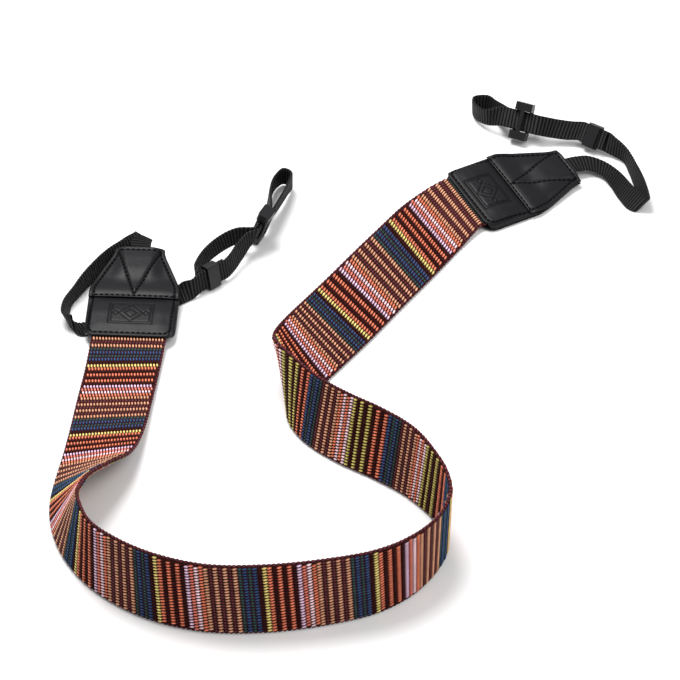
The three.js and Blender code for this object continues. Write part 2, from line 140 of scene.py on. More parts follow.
# The webbings in the plan of their own tab: name, then across and along as shares of the tab's
# width and length, height as a share of the webbing's width, toward and rise in degrees.
LEFT_WEBBING_OUT = [
    ("rise to crease", 0.112, 1.085, 0.84, 173, 3),
    ("crease", 0.112, 1.14, 0.69, 157, 14),
    ("under crease", 0.069, 1.112, 0.46, 148, 35),
    ("shoulder", -0.129, 1.06, 0.12, 143, 66),
    ("shoulder end", -0.33, 0.945, 0, 150, 78),
    ("side", -0.505, 0.73, 0, 190, 80),
    ("side loop", -0.615, 0.57, 0, 241, 62),
    ("side loop far", -0.705, 0.39, 0, 243, 57),
    ("side loop near", -0.68, 0.2, 0, 225, 66),
    ("turning flat", -0.6, 0.095, 0, 150, 72),
    ("turned flat", -0.545, 0.045, 0, 124, 22),
    ("under tab", -0.475, 0.05, 0, 118, 1),
    ("under tab middle", -0.064, 0.18, 0, 115, 2),
    ("under tab end", 0.243, 0.32, 0, 115, 8),
    ("tab's edge", 0.493, 0.465, 0, 111, 12),
    ("rising", 0.643, 0.565, 0.04, 122, 76),
    ("keeper in", 0.771, 0.66, "keeper", 134, 78),
    ("keeper out", 0.933, 0.775, "keeper", 134, 78),
    ("eye start", 1.06, 0.9, 0.25, 150, 78),
    ("eye middle", 1.125, 1.02, 0.33, 159, 78),
    ("eye end", 1.19, 1.14, 0.46, 160, 88),
    ("buckle in", 1.262, 1.27, "buckle", 339, 70),
    ("buckle out", 1.346, 1.428, "buckle", 339, 70),
    ("lug loop", 1.444, 1.64, 0.42, 336, 74),
    ("lug loop far", 1.542, 1.9, 0.25, 336, 80),
    ("lug loop turn", 1.588, 2.06, 0.12, 103, 88),
    ("lug loop end", 1.494, 2.107, 0.1, 333, 88),
    ("lug loop return", 1.399, 2.01, 0.13, 333, 84),
    ("lug loop back", 1.357, 1.77, 0.34, 348, 82),
]
LEFT_WEBBING_BACK = [
    ("arc start", 1.06, 1.2, 0.48, 230, 86),
    ("arc", 0.927, 1.125, 0.42, 213, 75),
    ("arc middle", 0.779, 1.0, 0.33, 228, 72),
    ("arc end", 0.685, 0.863, 0.26, 243, 74),
    ("arc turn", 0.665, 0.76, 0.25, 238, 80),
    ("arc tuck", 0.69, 0.69, 0.25, 134, 84),
]
RIGHT_WEBBING_OUT = [
    ("hump", 0.13, 1.08, 0.4, 165, 9),
    ("hump end", 0.16, 1.145, 0.34, 158, 10),
    ("turning", 0.262, 1.2, 0.22, 140, 8),
    ("turned", 0.42, 1.205, 0.08, 120, 14),
    ("down", 0.68, 1.175, 0, 102, 34),
    ("crease", 0.91, 1.165, 0, 90, 40),
    ("crease turn", 0.98, 1.198, 0, 60, 50),
    ("crease back", 0.905, 1.263, 0, 32, 55),
    ("return", 0.6, 1.375, 0, 18, 57),
    ("return middle", 0.33, 1.452, 0, 5, 64),
    ("bend", 0.13, 1.491, 0.04, 360, 78),
    ("keeper near", -0.028, 1.438, 0.15, 118, 72),
    ("keeper in", -0.182, 1.374, "keeper", 116, 53),
    ("keeper out", -0.365, 1.318, "keeper", 116, 53),
    ("double start", -0.51, 1.215, 0.26, 117, 52),
    ("double", -0.62, 1.1, 0.36, 117, 52),
    ("buckle in", -0.76, 0.965, "buckle", 130, 56),
    ("buckle out", -0.95, 0.87, "buckle", 130, 56),
    ("lug loop", -1.16, 0.85, 0.34, 110, 66),
    ("lug loop far", -1.36, 0.874, 0.15, 95, 80),
    ("lug loop turn", -1.52, 0.878, 0.08, 60, 85),
    ("lug loop end", -1.57, 0.79, 0.07, 240, 88),
    ("lug loop return", -1.44, 0.742, 0.12, 280, 86),
    ("lug loop back", -1.22, 0.757, 0.3, 285, 84),
]

# The weave: rows of floats in a repeat, and where the repeat's yellow row lies along the band.
FRONT_REPEAT = (
    "yellow orange black orange black orange black lilac red brick_pink orange tan_orange "
    "maroon tan maroon tan maroon tan green blue green blue black"
).split()
BACK_REPEAT = (
    "blue green blue orange black orange black leaf black leaf black leaf brick_pink pink_orange "
    "brick_pink orange tan_orange maroon tan maroon tan maroon green"
).split()
# Distances from the left tab along the foot edge, in metres, of places on the foot edge and on
# the top edge, and the number of repeats up to there. A yellow row starts each repeat, and the
# parts of a repeat are places where the back's blue and yellow-green rows show.
REPEAT_LANDMARKS = [
    (-0.0310, -0.0310, -1),
    (0.0226, 0.0226, 0),
    (0.0768, 0.0768, 1),
    (0.1252, 0.1248, 2),
    (0.1782, 0.1768, 3),
    (0.2312, 0.2270, 4),
    (0.2824, 0.2802, 5),
    (0.3340, 0.3329, 6),
    (0.3870, 0.3870, 7),
    (0.4200, 0.4197, 7.571),
    (0.4470, 0.4459, 8.223),
    (0.4655, 0.4646, 8.571),
    (0.4962, 0.4927, 9.223),
    (0.5100, 0.5074, 9.571),
    (0.5350, 0.5290, 10),
    (0.5884, 0.5841, 11),
    (0.6507, 0.6497, 12),
    (0.7130, 0.7130, 13),
]
# How many repeats the back's pattern starts after the front's.
BACK_SHIFT = 0.18
# How much of the band's stretch inside a tab has floats.
WOVEN_INTO_TAB = 0.8
FLOAT_COLUMNS = 23
FLOAT_SEEDS = {"front": 7, "back": 11}
# How far in the floats and the core start, in thicknesses of the selvedge, and how thick the
# core's edge is, as a share of its middle.
FLOAT_MARGIN = 0.8
CORE_MARGIN = 0.45
CORE_EDGE = 0.6
CORE_PARTS = 6
FLOAT_TINTS = (0.84, 1.14)
FLOAT_HEIGHTS = (0.9, 1.1)
SELVEDGE_SEED = 5
SELVEDGE_TINTS = (0.7, 1.2)
SELVEDGE_HEIGHTS = (1.05, 1.25)
SELVEDGE_LENGTH = 1.04
DARK_ROWS = {"black", "maroon", "green"}
BRICK_ROWS = {"lilac", "red", "brick_pink", "orange", "tan_orange", "pink_orange"}
YARN_OF_ROW = {"brick_pink": "pink", "tan_orange": "tan", "pink_orange": "orange"}
# How the floats of dark and of bright rows lie: their slant in degrees, and their length, width
# and height as shares of the row's pitch, the column's spacing and the full float height.
FLOAT_FORMS = {
    "dark": {"slant": 8, "length": 0.92, "width": 0.96, "height": 0.66},
    "bright": {"slant": 12, "length": 1.26, "width": 0.78, "height": 1.0},
}

# The camera's angle, its distance from the middle of the plan in metres, and its lens in mm.
VIEW_ELEVATION = math.radians(39)
VIEW_DISTANCE = 1.9585
VIEW_LENS = 206.5


def linear(red, green, blue):
    """A colour of 0 to 255 as a linear one."""
    def step(value):
        v = value / 255
        return v / 12.92 if v <= 0.04045 else ((v + 0.055) / 1.055) ** 2.4
    return (step(red), step(green), step(blue))


def length_property(label, words, default):
    return bpy.props.FloatProperty(
        name=label, description=words, default=default, min=0, precision=5, unit="LENGTH"
    )


def colour_property(label, words, default):
    return bpy.props.FloatVectorProperty(
        name=label, description=words, default=default, size=3, min=0, max=1, subtype="COLOR"
    )


class StrapSizes(bpy.types.PropertyGroup):
    """Sizes of the details that the strap's solids leave out."""

    core_thickness: length_property("Core", "Thickness of the weave under the floats", 0.0015)
    float_height: length_property("Float height", "How far a float stands out of the core", 0.0006)
    selvedge_bump: length_property("Selvedge", "Thickness of the bumps along both edges", 0.0013)
    rim_radius: length_property("Rim", "Rounding of the leather's cut edges", 0.0006)
    stitch_inset: length_property("Stitch inset", "Distance of the stitches from the edge", 0.0024)
    stitch_spacing: length_property("Stitch spacing", "Distance from stitch to stitch", 0.0027)
    stitch_length: length_property("Stitch length", "Length of one stitch", 0.0020)
    stitch_thickness: length_property("Thread", "Thickness of the sewing thread", 0.0009)
    puff: length_property("Puff", "How far the padded leather swells between its seams", 0.0005)
    rib_pitch: length_property("Rib pitch", "Distance from rib to rib along the webbing", 0.0018)
    rib_depth: length_property("Rib depth", "Depth of the grooves between the ribs", 0.00022)


class StrapColours(bpy.types.PropertyGroup):
    """Colours of the yarns and of the other materials."""

    yellow: colour_property("Yellow", "Yarn that starts each repeat", linear(228, 206, 118))
    leaf: colour_property("Leaf", "Yellow-green yarn of the back", linear(196, 180, 92))
    orange: colour_property("Orange", "Main bright yarn", linear(224, 118, 84))
    red: colour_property("Red", "Red-orange yarn", linear(222, 116, 96))
    lilac: colour_property("Lilac", "Pale violet yarn", linear(226, 188, 214))
    pink: colour_property("Pink", "Palest yarn", linear(242, 204, 212))
    tan: colour_property("Tan", "Cream and tan yarn", linear(212, 150, 116))
    blue: colour_property("Blue", "Dark blue yarn", linear(51, 74, 114))
    green: colour_property("Green", "Dark green yarn", linear(52, 76, 76))
    maroon: colour_property("Maroon", "Ground and selvedge yarn", linear(94, 46, 51))
    black: colour_property("Black", "Darkest yarn", linear(56, 24, 22))
    leather: colour_property("Leather", "The tabs", linear(16, 16, 19))
    nylon: colour_property("Nylon", "The narrow webbing", linear(19, 19, 20))
    plastic: colour_property("Plastic", "Keepers and buckles", linear(20, 20, 22))
    floor: colour_property("Floor", "The table under the strap", (0.86, 0.86, 0.86))


def sizes():
    return bpy.context.scene.strap_sizes


def colours():
    return bpy.context.scene.strap_colours


# Ribbons along stations, in the same way as the part's source.

def direction(toward, rise):
    level = math.cos(math.radians(rise))
    a = math.radians(toward)
    return Vector((level * math.cos(a), level * math.sin(a), math.sin(math.radians(rise))))


def curve_point(points, t):
    """A point of the smooth curve through the points, with t from 0 to 1."""
    place = (len(points) - 1) * t
    i = min(int(place), len(points) - 2)
    weight = place - i
    p1, p2 = points[i], points[i + 1]
    p0 = points[i - 1] if i > 0 else 2 * p1 - p2
    p3 = points[i + 2] if i + 2 < len(points) else 2 * p2 - p1
    d0, d1, d2 = (math.sqrt((b - a).length) for a, b in ((p0, p1), (p1, p2), (p2, p3)))
    d1 = d1 if d1 > 1e-6 else 1
    d0 = d0 if d0 > 1e-6 else d1
    d2 = d2 if d2 > 1e-6 else d1
    m1 = ((p1 - p0) / d0 - (p2 - p0) / (d0 + d1) + (p2 - p1) / d1) * d1
    m2 = ((p2 - p1) / d1 - (p3 - p1) / (d1 + d2) + (p3 - p2) / d2) * d1
    return (
        p1
        + m1 * weight
        + (3 * (p2 - p1) - 2 * m1 - m2) * weight ** 2
        + (2 * (p1 - p2) + m1 + m2) * weight ** 3
    )


def ribbon_sections(stations, width, step):
    """Sections along (foot, rise) stations, each with its foot, top, two normals and distances."""
    feet = [foot for foot, _ in stations]
    tops = [foot + rise * width for foot, rise in stations]
    segments = len(stations) - 1
    samples = []
    for i in range(segments):
        reach = max((feet[i + 1] - feet[i]).length, (tops[i + 1] - tops[i]).length)
        parts = max(2, math.ceil(reach / step))
        samples += [(i + k / parts) / segments for k in range(parts)]
    samples.append(1)
    lower = [curve_point(feet, t) for t in samples]
    rises = [(curve_point(tops, t) - foot).normalized() for t, foot in zip(samples, lower)]
    upper = [foot + rise * width for foot, rise in zip(lower, rises)]
    sections = []
    travelled = foot_travelled = 0
    for i, rise in enumerate(rises):
        before, after = max(i - 1, 0), min(i + 1, len(samples) - 1)
        if i:
            foot_travelled += (lower[i] - lower[i - 1]).length
            middle = (lower[i] + upper[i] - lower[i - 1] - upper[i - 1]) / 2
            travelled += middle.length
        sections.append({
            "share": samples[i],
            "foot": lower[i],
            "top": upper[i],
            "foot_normal": (lower[after] - lower[before]).cross(rise).normalized(),
            "top_normal": (upper[after] - upper[before]).cross(rise).normalized(),
            "foot_distance": foot_travelled,
            "distance": travelled,
        })
    return sections


def section_normal(section, share):
    return section["foot_normal"].lerp(section["top_normal"], share).normalized()


def on_section(section, share, out):
    """A point at a share of the section's width and a distance out of its middle surface."""
    return section["foot"].lerp(section["top"], share) + section_normal(section, share) * out


def seated_ring(ring):
    """A ring lifted until nothing of it is under the table."""
    lift = max(0, -min(p.z for p in ring))
    return [p + Vector((0, 0, lift)) for p in ring]


def both_faces(side):
    """A ribbon's outline from one face's (share across, height) points."""
    return side + [(share, -height) for share, height in reversed(side)]


def ribbon_mesh(name, sections, outline, swell=None):
    """A closed ribbon with UVs of distance along it and of share across it, both in metres."""
    rings = []
    for s in sections:
        extra = swell(s["distance"]) if swell else 0
        ring = [on_section(s, share, half + math.copysign(extra, half)) for share, half in outline]
        rings.append(seated_ring(ring))
    count = len(outline)
    mesh = bmesh.new()
    uv = mesh.loops.layers.uv.new("UVMap")
    rows = [[mesh.verts.new(p + SHIFT) for p in ring] for ring in rings]
    unrolled = {
        vert: (section["distance"], share * BAND_WIDTH)
        for row, section in zip(rows, sections)
        for vert, (share, _) in zip(row, outline)
    }
    join_rows(mesh, rows, closed=True)
    for face in mesh.faces:
        for loop in face.loops:
            loop[uv].uv = unrolled[loop.vert]
    for row, section in ((rows[0], sections[0]), (rows[-1], sections[-1])):
        for j in range(count // 2 - 1):
            face = mesh.faces.new((row[j], row[j + 1], row[count - 2 - j], row[count - 1 - j]))
            for loop in face.loops:
                loop[uv].uv = (section["distance"], 0)
    bmesh.ops.recalc_face_normals(mesh, faces=mesh.faces)
    return piece_from_bmesh(name, mesh)


def join_rows(mesh, rows, closed=False, flip=False):
    """Smooth faces between rows of vertices, closed round each row or open at its ends."""
    for low, high in zip(rows, rows[1:]):
        for j in range(len(low) if closed else len(low) - 1):
            k = (j + 1) % len(low)
            corners = [low[j], low[k], high[k], high[j]]
            mesh.faces.new(corners[::-1] if flip else corners).smooth = True


def piece_from_bmesh(name, mesh):
    data = bpy.data.meshes.new(name)
    mesh.to_mesh(data)
    mesh.free()
    piece = bpy.data.objects.new(name, data)
    bpy.context.scene.collection.objects.link(piece)
    return piece


def finish_piece(piece, material, slot, *nodes):
    """Gives a piece its material, hangs it under the root body and hides the parts it stands for.
    """
    if material:
        piece.data.materials.clear()
        piece.data.materials.append(material)
    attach(piece, "root")
    if nodes:
        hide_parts(*nodes)


# Places of the strap's parts.

def tab_frame(place, base_lift, end_lift):
    """A tab's own frame: X across it, Y from its base to its narrow end, Z out of its front."""
    roll_lift = TAB_WIDTH / 2 * math.sin(math.radians(place["roll"]))
    origin = Vector((place["x"] * LAY_BREADTH, place["y"] * LAY_DEPTH, base_lift + roll_lift))
    tilt = math.asin((end_lift - base_lift) / TAB_LENGTH)
    level = direction(place["heading"], 0)
    along = level * math.cos(tilt) + Vector((0, 0, math.sin(tilt)))
    across = direction(place["heading"] - 90, -place["foot_side"] * place["roll"])
    out = across.cross(along).normalized()
    basis = Matrix((across, along, out)).transposed().to_4x4()
    basis.translation = origin
    return basis


# Each side's tab place and frame, and its webbing's stations on the way out.
SIDES = {
    "left": (
        LEFT_TAB_PLACE,
        tab_frame(LEFT_TAB_PLACE, WEBBING_THICKNESS + 3 * PIECE_GAP, 0.7 * WEBBING_WIDTH),
        LEFT_WEBBING_OUT,
    ),
    "right": (RIGHT_TAB_PLACE, tab_frame(RIGHT_TAB_PLACE, 0, 0), RIGHT_WEBBING_OUT),
}
BAND_LEVEL = LEATHER_THICKNESS + PIECE_GAP
WEBBING_LEVEL = LEATHER_THICKNESS + PIECE_GAP + WEBBING_THICKNESS / 2


def seated_foot(x, y, height, rise, thickness):
    """The middle of a foot edge whose lower corner is at a height above the table."""
    return Vector((x, y, height + thickness / 2 * math.sqrt(max(0, 1 - rise.z ** 2))))


def band_end_stations(place, basis, _):
    """From inside a tab to just outside it."""
    side = place["foot_side"]
    rise = (basis.to_3x3() @ Vector((-side, 0, 0))).normalized()
    level = BAND_LEVEL + BAND_THICKNESS / 2
    return [
        (basis @ Vector((side * BAND_WIDTH / 2, v, level)), rise)
        for v in (BAND_INSET, 0, -BAND_THICKNESS)
    ]


def band_stations():
    """From inside the left tab to inside the right tab."""
    free = []
    for x, y, toward, rise in BAND_ROUTE:
        up = direction(toward, rise)
        free.append((seated_foot(x * LAY_BREADTH, y * LAY_DEPTH, 0, up, BAND_THICKNESS), up))
    left, right = (band_end_stations(*SIDES[side]) for side in ("left", "right"))
    return left + free + right[::-1]


def held_lift(kind, rise):
    """How high the webbing's foot lies in its keeper or buckle, which stands on the table."""
    steep, level = math.sin(math.radians(rise)), math.cos(math.radians(rise))
    stack = 2 * WEBBING_THICKNESS + LAYER_GAP + 2 * SLEEVE_CLEARANCE
    if kind == "keeper":
        return (KEEPER_WALL + SLEEVE_CLEARANCE) * steep + (stack / 2 + KEEPER_WALL) * level
    overhang = (BUCKLE_LENGTH - WEBBING_WIDTH) / 2
    return overhang * steep + (stack / 2 + BUCKLE_BAR_THICKNESS) * level


def webbing_stations(place, table):
    """Named (name, foot, rise) stations, with guards that keep the webbing straight in a sleeve."""
    turn = Matrix.Rotation(math.radians(place["heading"] - 90), 4, "Z")
    plan = Matrix.Translation((place["x"] * LAY_BREADTH, place["y"] * LAY_DEPTH, 0)) @ turn
    stations = []
    for name, across, along, height, toward, rise in table:
        up = direction(toward + place["heading"] - 90, rise)
        lift = held_lift(height, rise) if isinstance(height, str) else height * WEBBING_WIDTH
        foot = seated_foot(across * TAB_WIDTH, along * TAB_LENGTH, lift, up, WEBBING_THICKNESS)
        stations.append((name, plan @ foot, up))
    guarded = []
    for i, (name, foot, up) in enumerate(stations):
        sleeve, _, end = name.partition(" ")
        guarded.append((name, foot, up))
        if end == "in":
            away = (foot - stations[i + 1][1]) * GUARD_SHARE
            guarded.insert(-1, (sleeve + " before", foot + away, up))
        if end == "out":
            away = (foot - stations[i - 1][1]) * GUARD_SHARE
            guarded.append((sleeve + " after", foot + away, up))
    return guarded


def webbing_end_stations(basis):
    """From inside a tab's narrow end to just outside it."""
    rise = (basis.to_3x3() @ Vector((-1, 0, 0))).normalized()
    return [
        (basis @ Vector((WEBBING_WIDTH / 2, v, WEBBING_LEVEL)), rise)
        for v in (TAB_LENGTH - WEBBING_INSET, TAB_LENGTH, TAB_LENGTH + WEBBING_THICKNESS)
    ]


def beside(stations, name):
    """The second layer's station beside a named one of the first."""
    i = [station[0] for station in stations].index(name)
    _, foot, rise = stations[i]
    normal = (stations[i + 1][1] - stations[i - 1][1]).cross(rise).normalized()
    return (foot - normal * (WEBBING_THICKNESS + LAYER_GAP), rise)


def webbing_route(side):
    """From inside the tab to the eyelet loop, and back through the buckle and the keeper."""
    place, basis, table = SIDES[side]
    out = webbing_stations(place, table)
    backwards = ("after", "out", "in", "before")
    back = [beside(out, "buckle " + n) for n in backwards]
    if side == "left":
        back += [(foot, up) for _, foot, up in webbing_stations(place, LEFT_WEBBING_BACK)]
        back += [beside(out, "keeper " + n) for n in backwards[::-1]]
    else:
        back += [beside(out, n) for n in ("double", "double start")]
        back += [beside(out, "keeper " + n) for n in backwards]
    return webbing_end_stations(basis) + [(foot, up) for _, foot, up in out] + back


# The longest steps between sections.
BAND_STEP = 0.0011
WEBBING_STEP = 0.0005
BAND_SECTIONS = ribbon_sections(band_stations(), BAND_WIDTH, BAND_STEP)


def plan_shift():
    """From the plan's own origin to the frame's, by the band's box."""
    half = BAND_THICKNESS / 2
    corners = [(share, out) for share in (0, 1) for out in (-half, half)]
    points = [on_section(s, *corner) for s in BAND_SECTIONS for corner in corners]
    low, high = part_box("woven_band")
    middle = [(min(p[i] for p in points) + max(p[i] for p in points)) / 2 for i in range(2)]
    return Vector(((low.x + high.x) / 2 - middle[0], (low.y + high.y) / 2 - middle[1], 0))


SHIFT = plan_shift()


# Nodes, for Geometry Nodes and for materials.

def feed(tree, socket, value):
    """Links another node's output to a socket, or sets its number or colour."""
    if isinstance(value, bpy.types.NodeSocket):
        tree.links.new(value, socket)
    else:
        socket.default_value = value


def new_node(tree, kind, inputs, output, **settings):
    """The output of a new node with these settings, whose inputs are linked or set."""
    node = tree.nodes.new(kind)
    for name, value in settings.items():
        setattr(node, name, value)
    for name, value in inputs.items():
        feed(tree, node.inputs[name], value)
    return node.outputs[output]


# Copies of a small shape on points.

COPIES_TREE = "copies on points"
COPIES_INPUTS = (
    ("Points", "NodeSocketGeometry"),
    ("Shape", "NodeSocketObject"),
    ("Size", "NodeSocketFloat"),
    ("Finish", "NodeSocketMaterial"),
)


def copies_tree():
    """Copies of the shape turned and sized by each point's own values, made into one mesh."""
    if COPIES_TREE in bpy.data.node_groups:
        return bpy.data.node_groups[COPIES_TREE]
    tree = bpy.data.node_groups.new(COPIES_TREE, "GeometryNodeTree")
    for name, kind in COPIES_INPUTS:
        tree.interface.new_socket(name, in_out="INPUT", socket_type=kind)
    tree.interface.new_socket("Copies", in_out="OUTPUT", socket_type="NodeSocketGeometry")
    given = tree.nodes.new("NodeGroupInput").outputs
    reader = "GeometryNodeInputNamedAttribute"
    turn = new_node(tree, reader, {"Name": "turn"}, "Attribute", data_type="FLOAT_VECTOR")
    size = new_node(tree, reader, {"Name": "size"}, "Attribute", data_type="FLOAT_VECTOR")
    turn = new_node(tree, "FunctionNodeEulerToRotation", {"Euler": turn}, "Rotation")
    inputs = {0: size, "Scale": given["Size"]}
    size = new_node(tree, "ShaderNodeVectorMath", inputs, "Vector", operation="SCALE")
    shape = new_node(tree, "GeometryNodeObjectInfo", {"Object": given["Shape"]}, "Geometry")
    inputs = {"Points": given["Points"], "Instance": shape, "Rotation": turn, "Scale": size}
    copies = new_node(tree, "GeometryNodeInstanceOnPoints", inputs, "Instances")
    plain = new_node(tree, "GeometryNodeRealizeInstances", {"Geometry": copies}, "Geometry")
    inputs = {"Geometry": plain, "Material": given["Finish"]}
    finished = new_node(tree, "GeometryNodeSetMaterial", inputs, "Geometry")
    feed(tree, tree.nodes.new("NodeGroupOutput").inputs["Copies"], finished)
    return tree


def copies_on_points(name, shape, points, material):
    """A plain mesh of copies. points are dictionaries of place, turn, size and tint."""
    data = bpy.data.meshes.new(name + "_points")
    data.from_pydata([p["place"] for p in points], [], [])
    for attribute, kind, field in (
        ("turn", "FLOAT_VECTOR", "vector"),
        ("size", "FLOAT_VECTOR", "vector"),
        ("tint", "FLOAT_COLOR", "color"),
    ):
        layer = data.attributes.new(attribute, kind, "POINT")
        layer.data.foreach_set(field, [v for p in points for v in p[attribute]])
    piece = bpy.data.objects.new(name, data)
    bpy.context.scene.collection.objects.link(piece)
    tree = copies_tree()
    modifier = piece.modifiers.new("copies", "NODES")
    modifier.node_group = tree
    identifiers = {item.name: item.identifier for item in tree.interface.items_tree}
    modifier[identifiers["Shape"]] = shape
    modifier[identifiers["Size"]] = 1.0
    modifier[identifiers["Finish"]] = material
    bpy.context.view_layer.update()
    graph = bpy.context.evaluated_depsgraph_get()
    plain = bpy.data.meshes.new_from_object(
        piece.evaluated_get(graph), preserve_all_data_layers=True, depsgraph=graph
    )
    piece.modifiers.clear()
    piece.data = plain
    plain.name = name
    bpy.data.meshes.remove(data)
    for used in ("turn", "size"):
        if used in plain.attributes:
            plain.attributes.remove(plain.attributes[used])
    return piece


# How the crown share of a float grows with height. The yarn turns this share into painted shade at
# the float's base and a painted highlight at its top.
CROWN_POWER = 1.7
CAPSULE_SIDES = 8


def ringed_shape(name, sides, rings):
    """A small closed solid, 1 across, from rings of (radius, height) and a tip at height 1."""
    mesh = bmesh.new()
    crown = mesh.verts.layers.float.new("crown")
    rows = []
    for radius, height in rings:
        row = []
        for k in range(sides):
            a = 2 * math.pi * (k + 0.5) / sides
            row.append(mesh.verts.new((radius * math.cos(a), radius * math.sin(a), height)))
        rows.append(row)
    mesh.faces.new(rows[0][::-1])
    join_rows(mesh, rows, closed=True)
    top = mesh.verts.new((0, 0, 1))
    for k in range(sides):
        mesh.faces.new((rows[-1][k], rows[-1][(k + 1) % sides], top)).smooth = True
    for vert in mesh.verts:
        vert[crown] = max(0, vert.co.z) ** CROWN_POWER
    return piece_from_bmesh(name, mesh)


def capsule_shape(name):
    """A closed capsule of length, width and height 1 along X, for stitches and bumps."""
    mesh = bmesh.new()
    crown = mesh.verts.layers.float.new("crown")
    bmesh.ops.create_uvsphere(
        mesh, u_segments=CAPSULE_SIDES, v_segments=CAPSULE_SIDES // 2, radius=0.5
    )
    bmesh.ops.rotate(mesh, verts=mesh.verts, matrix=Matrix.Rotation(math.pi / 2, 3, "Y"))
    # The crown share is 0 at the capsule's ends and 1 in its middle. On yarn beads it sets the
    # painted shade at the ends and the painted highlight in the middle.
    for vert in mesh.verts:
        vert[crown] = 1 - 2 * abs(vert.co.x)
    for face in mesh.faces:
        face.smooth = True
    return piece_from_bmesh(name, mesh)


def turn_of(along, out):
    """The turn of a copy whose X runs along and whose Z points out."""
    side = out.cross(along).normalized()
    along = side.cross(out).normalized()
    return Matrix((along, side, out)).transposed().to_euler()


# Materials.

def shade(colour, share):
    return tuple(min(1, c * share) for c in colour)


class Look:
    """A node material under construction."""

    def __init__(self, name, roughness, specular=0.5):
        self.material = bpy.data.materials.new(name)
        self.material.use_nodes = True
        self.tree = self.material.node_tree
        self.set("Roughness", roughness)
        self.set("Specular IOR Level", specular)

    def set(self, name, value):
        """Links or sets an input of the surface."""
        feed(self.tree, self.tree.nodes["Principled BSDF"].inputs[name], value)

    def node(self, kind, inputs, output, **settings):
        return new_node(self.tree, kind, inputs, output, **settings)

    def place(self, kind="Object"):
        return self.node("ShaderNodeTexCoord", {}, kind)

    def noise(self, scale, detail, roughness=0.5, output="Fac"):
        inputs = {"Vector": self.place(), "Scale": scale, "Detail": detail, "Roughness": roughness}
        return self.node("ShaderNodeTexNoise", inputs, output)

    def threads(self, axis, inputs):
        inputs = {"Vector": self.place("UV"), **inputs}
        return self.node("ShaderNodeTexWave", inputs, "Fac", bands_direction=axis)

    def attribute(self, name, output="Fac"):
        return self.node("ShaderNodeAttribute", {}, output, attribute_name=name)

    def spread(self, value, low, high, start=0.0):
        """A value of start to 1 spread over low to high."""
        inputs = {"Value": value, "From Min": start, "To Min": low, "To Max": high}
        return self.node("ShaderNodeMapRange", inputs, "Result")

    def product(self, first, second):
        return self.node("ShaderNodeMath", {0: first, 1: second}, "Value", operation="MULTIPLY")

    def scaled(self, colour, share):
        inputs = {0: colour, "Scale": share}
        return self.node("ShaderNodeVectorMath", inputs, "Vector", operation="SCALE")

    def mixed(self, factor, first, second):
        """A colour between two colours by a factor."""
        inputs = {"Factor": factor, "A": (*first, 1), "B": (*second, 1)}
        return self.node("ShaderNodeMix", inputs, "Result", data_type="RGBA")

    def bump(self, height, strength, distance, below=None):
        inputs = {"Height": height, "Strength": strength, "Distance": distance}
        if below:
            inputs["Normal"] = below
        normal = self.node("ShaderNodeBump", inputs, "Normal")
        self.set("Normal", normal)
        return normal


def yarn_material():
    """Spun yarn in the tint of each float, with fibres, painted shade towards each float's base, a
    painted highlight on its crown, and a sheen that grows with brightness.
    """
    look = Look("spun_yarn", roughness=0.45)
    uneven = look.spread(look.noise(900, 3), 0.7, 1.25)
    # Painted shade and highlight: the tint falls to 0.14 at each float's and bead's base and rises
    # to 1.2 at its crown.
    depth = look.spread(look.attribute("crown"), 0.14, 1.2)
    tinted = look.scaled(look.attribute("tint", "Color"), look.product(uneven, depth))
    look.set("Base Color", tinted)
    brightness = look.node("ShaderNodeVectorMath", {0: tinted}, "Value", operation="LENGTH")
    look.set("Specular IOR Level", look.product(brightness, 0.45))
    look.bump(look.noise(3200, 2), 0.35, 0.0002)
    return look.material


def ground_material():
    """The dark weft between the floats, with cross threads along the band's own UV map, its colours
    halved as painted shade.
    """
    look = Look("dark_weft", roughness=0.9, specular=0.05)
    threads = look.threads("X", {"Scale": 420, "Distortion": 0.4})
    # Painted shade: the weft's own black and maroon are halved to stand for the shade between the
    # floats.
    dark, light = shade(colours().black, 0.5), shade(colours().maroon, 0.5)
    look.set("Base Color", look.mixed(threads, dark, light))
    look.bump(threads, 0.6, 0.0003)
    return look.material


def leather_material():
    """Black grained leather: pebbles, creases, uneven gloss, and dull dark pressed lines."""
    look = Look("grained_leather", roughness=0.5)
    warp = {"Factor": 0.004, "A": look.place(), "B": look.noise(260, 3, output="Color")}
    bent = look.node("ShaderNodeMix", warp, "Result", data_type="VECTOR")
    cells = {"Vector": bent, "Scale": 1150, "Randomness": 1}
    pebbles = look.node("ShaderNodeTexVoronoi", cells, "Distance", feature="DISTANCE_TO_EDGE")
    patches = look.noise(55, 4, 0.6)
    pressed = look.attribute("pressed")
    leather = colours().leather
    grain = look.mixed(patches, shade(leather, 0.72), shade(leather, 1.35))
    look.set("Base Color", look.scaled(grain, look.spread(pressed, 1.0, 0.25)))
    look.set("Specular IOR Level", look.spread(pressed, 0.18, 0.03))
    look.set("Roughness", look.spread(patches, 0.34, 0.5))
    creases = look.bump(patches, 0.3, 0.0012)
    look.bump(pebbles, 0.3, 0.0002, creases)
    return look.material


def thread_material():
    """Matt black sewing thread."""
    look = Look("sewing_thread", roughness=0.6, specular=0.04)
    noise = look.noise(2400, 2)
    look.set("Base Color", look.mixed(noise, linear(2, 2, 2), linear(9, 9, 10)))
    look.bump(noise, 0.4, 0.0001)
    return look.material


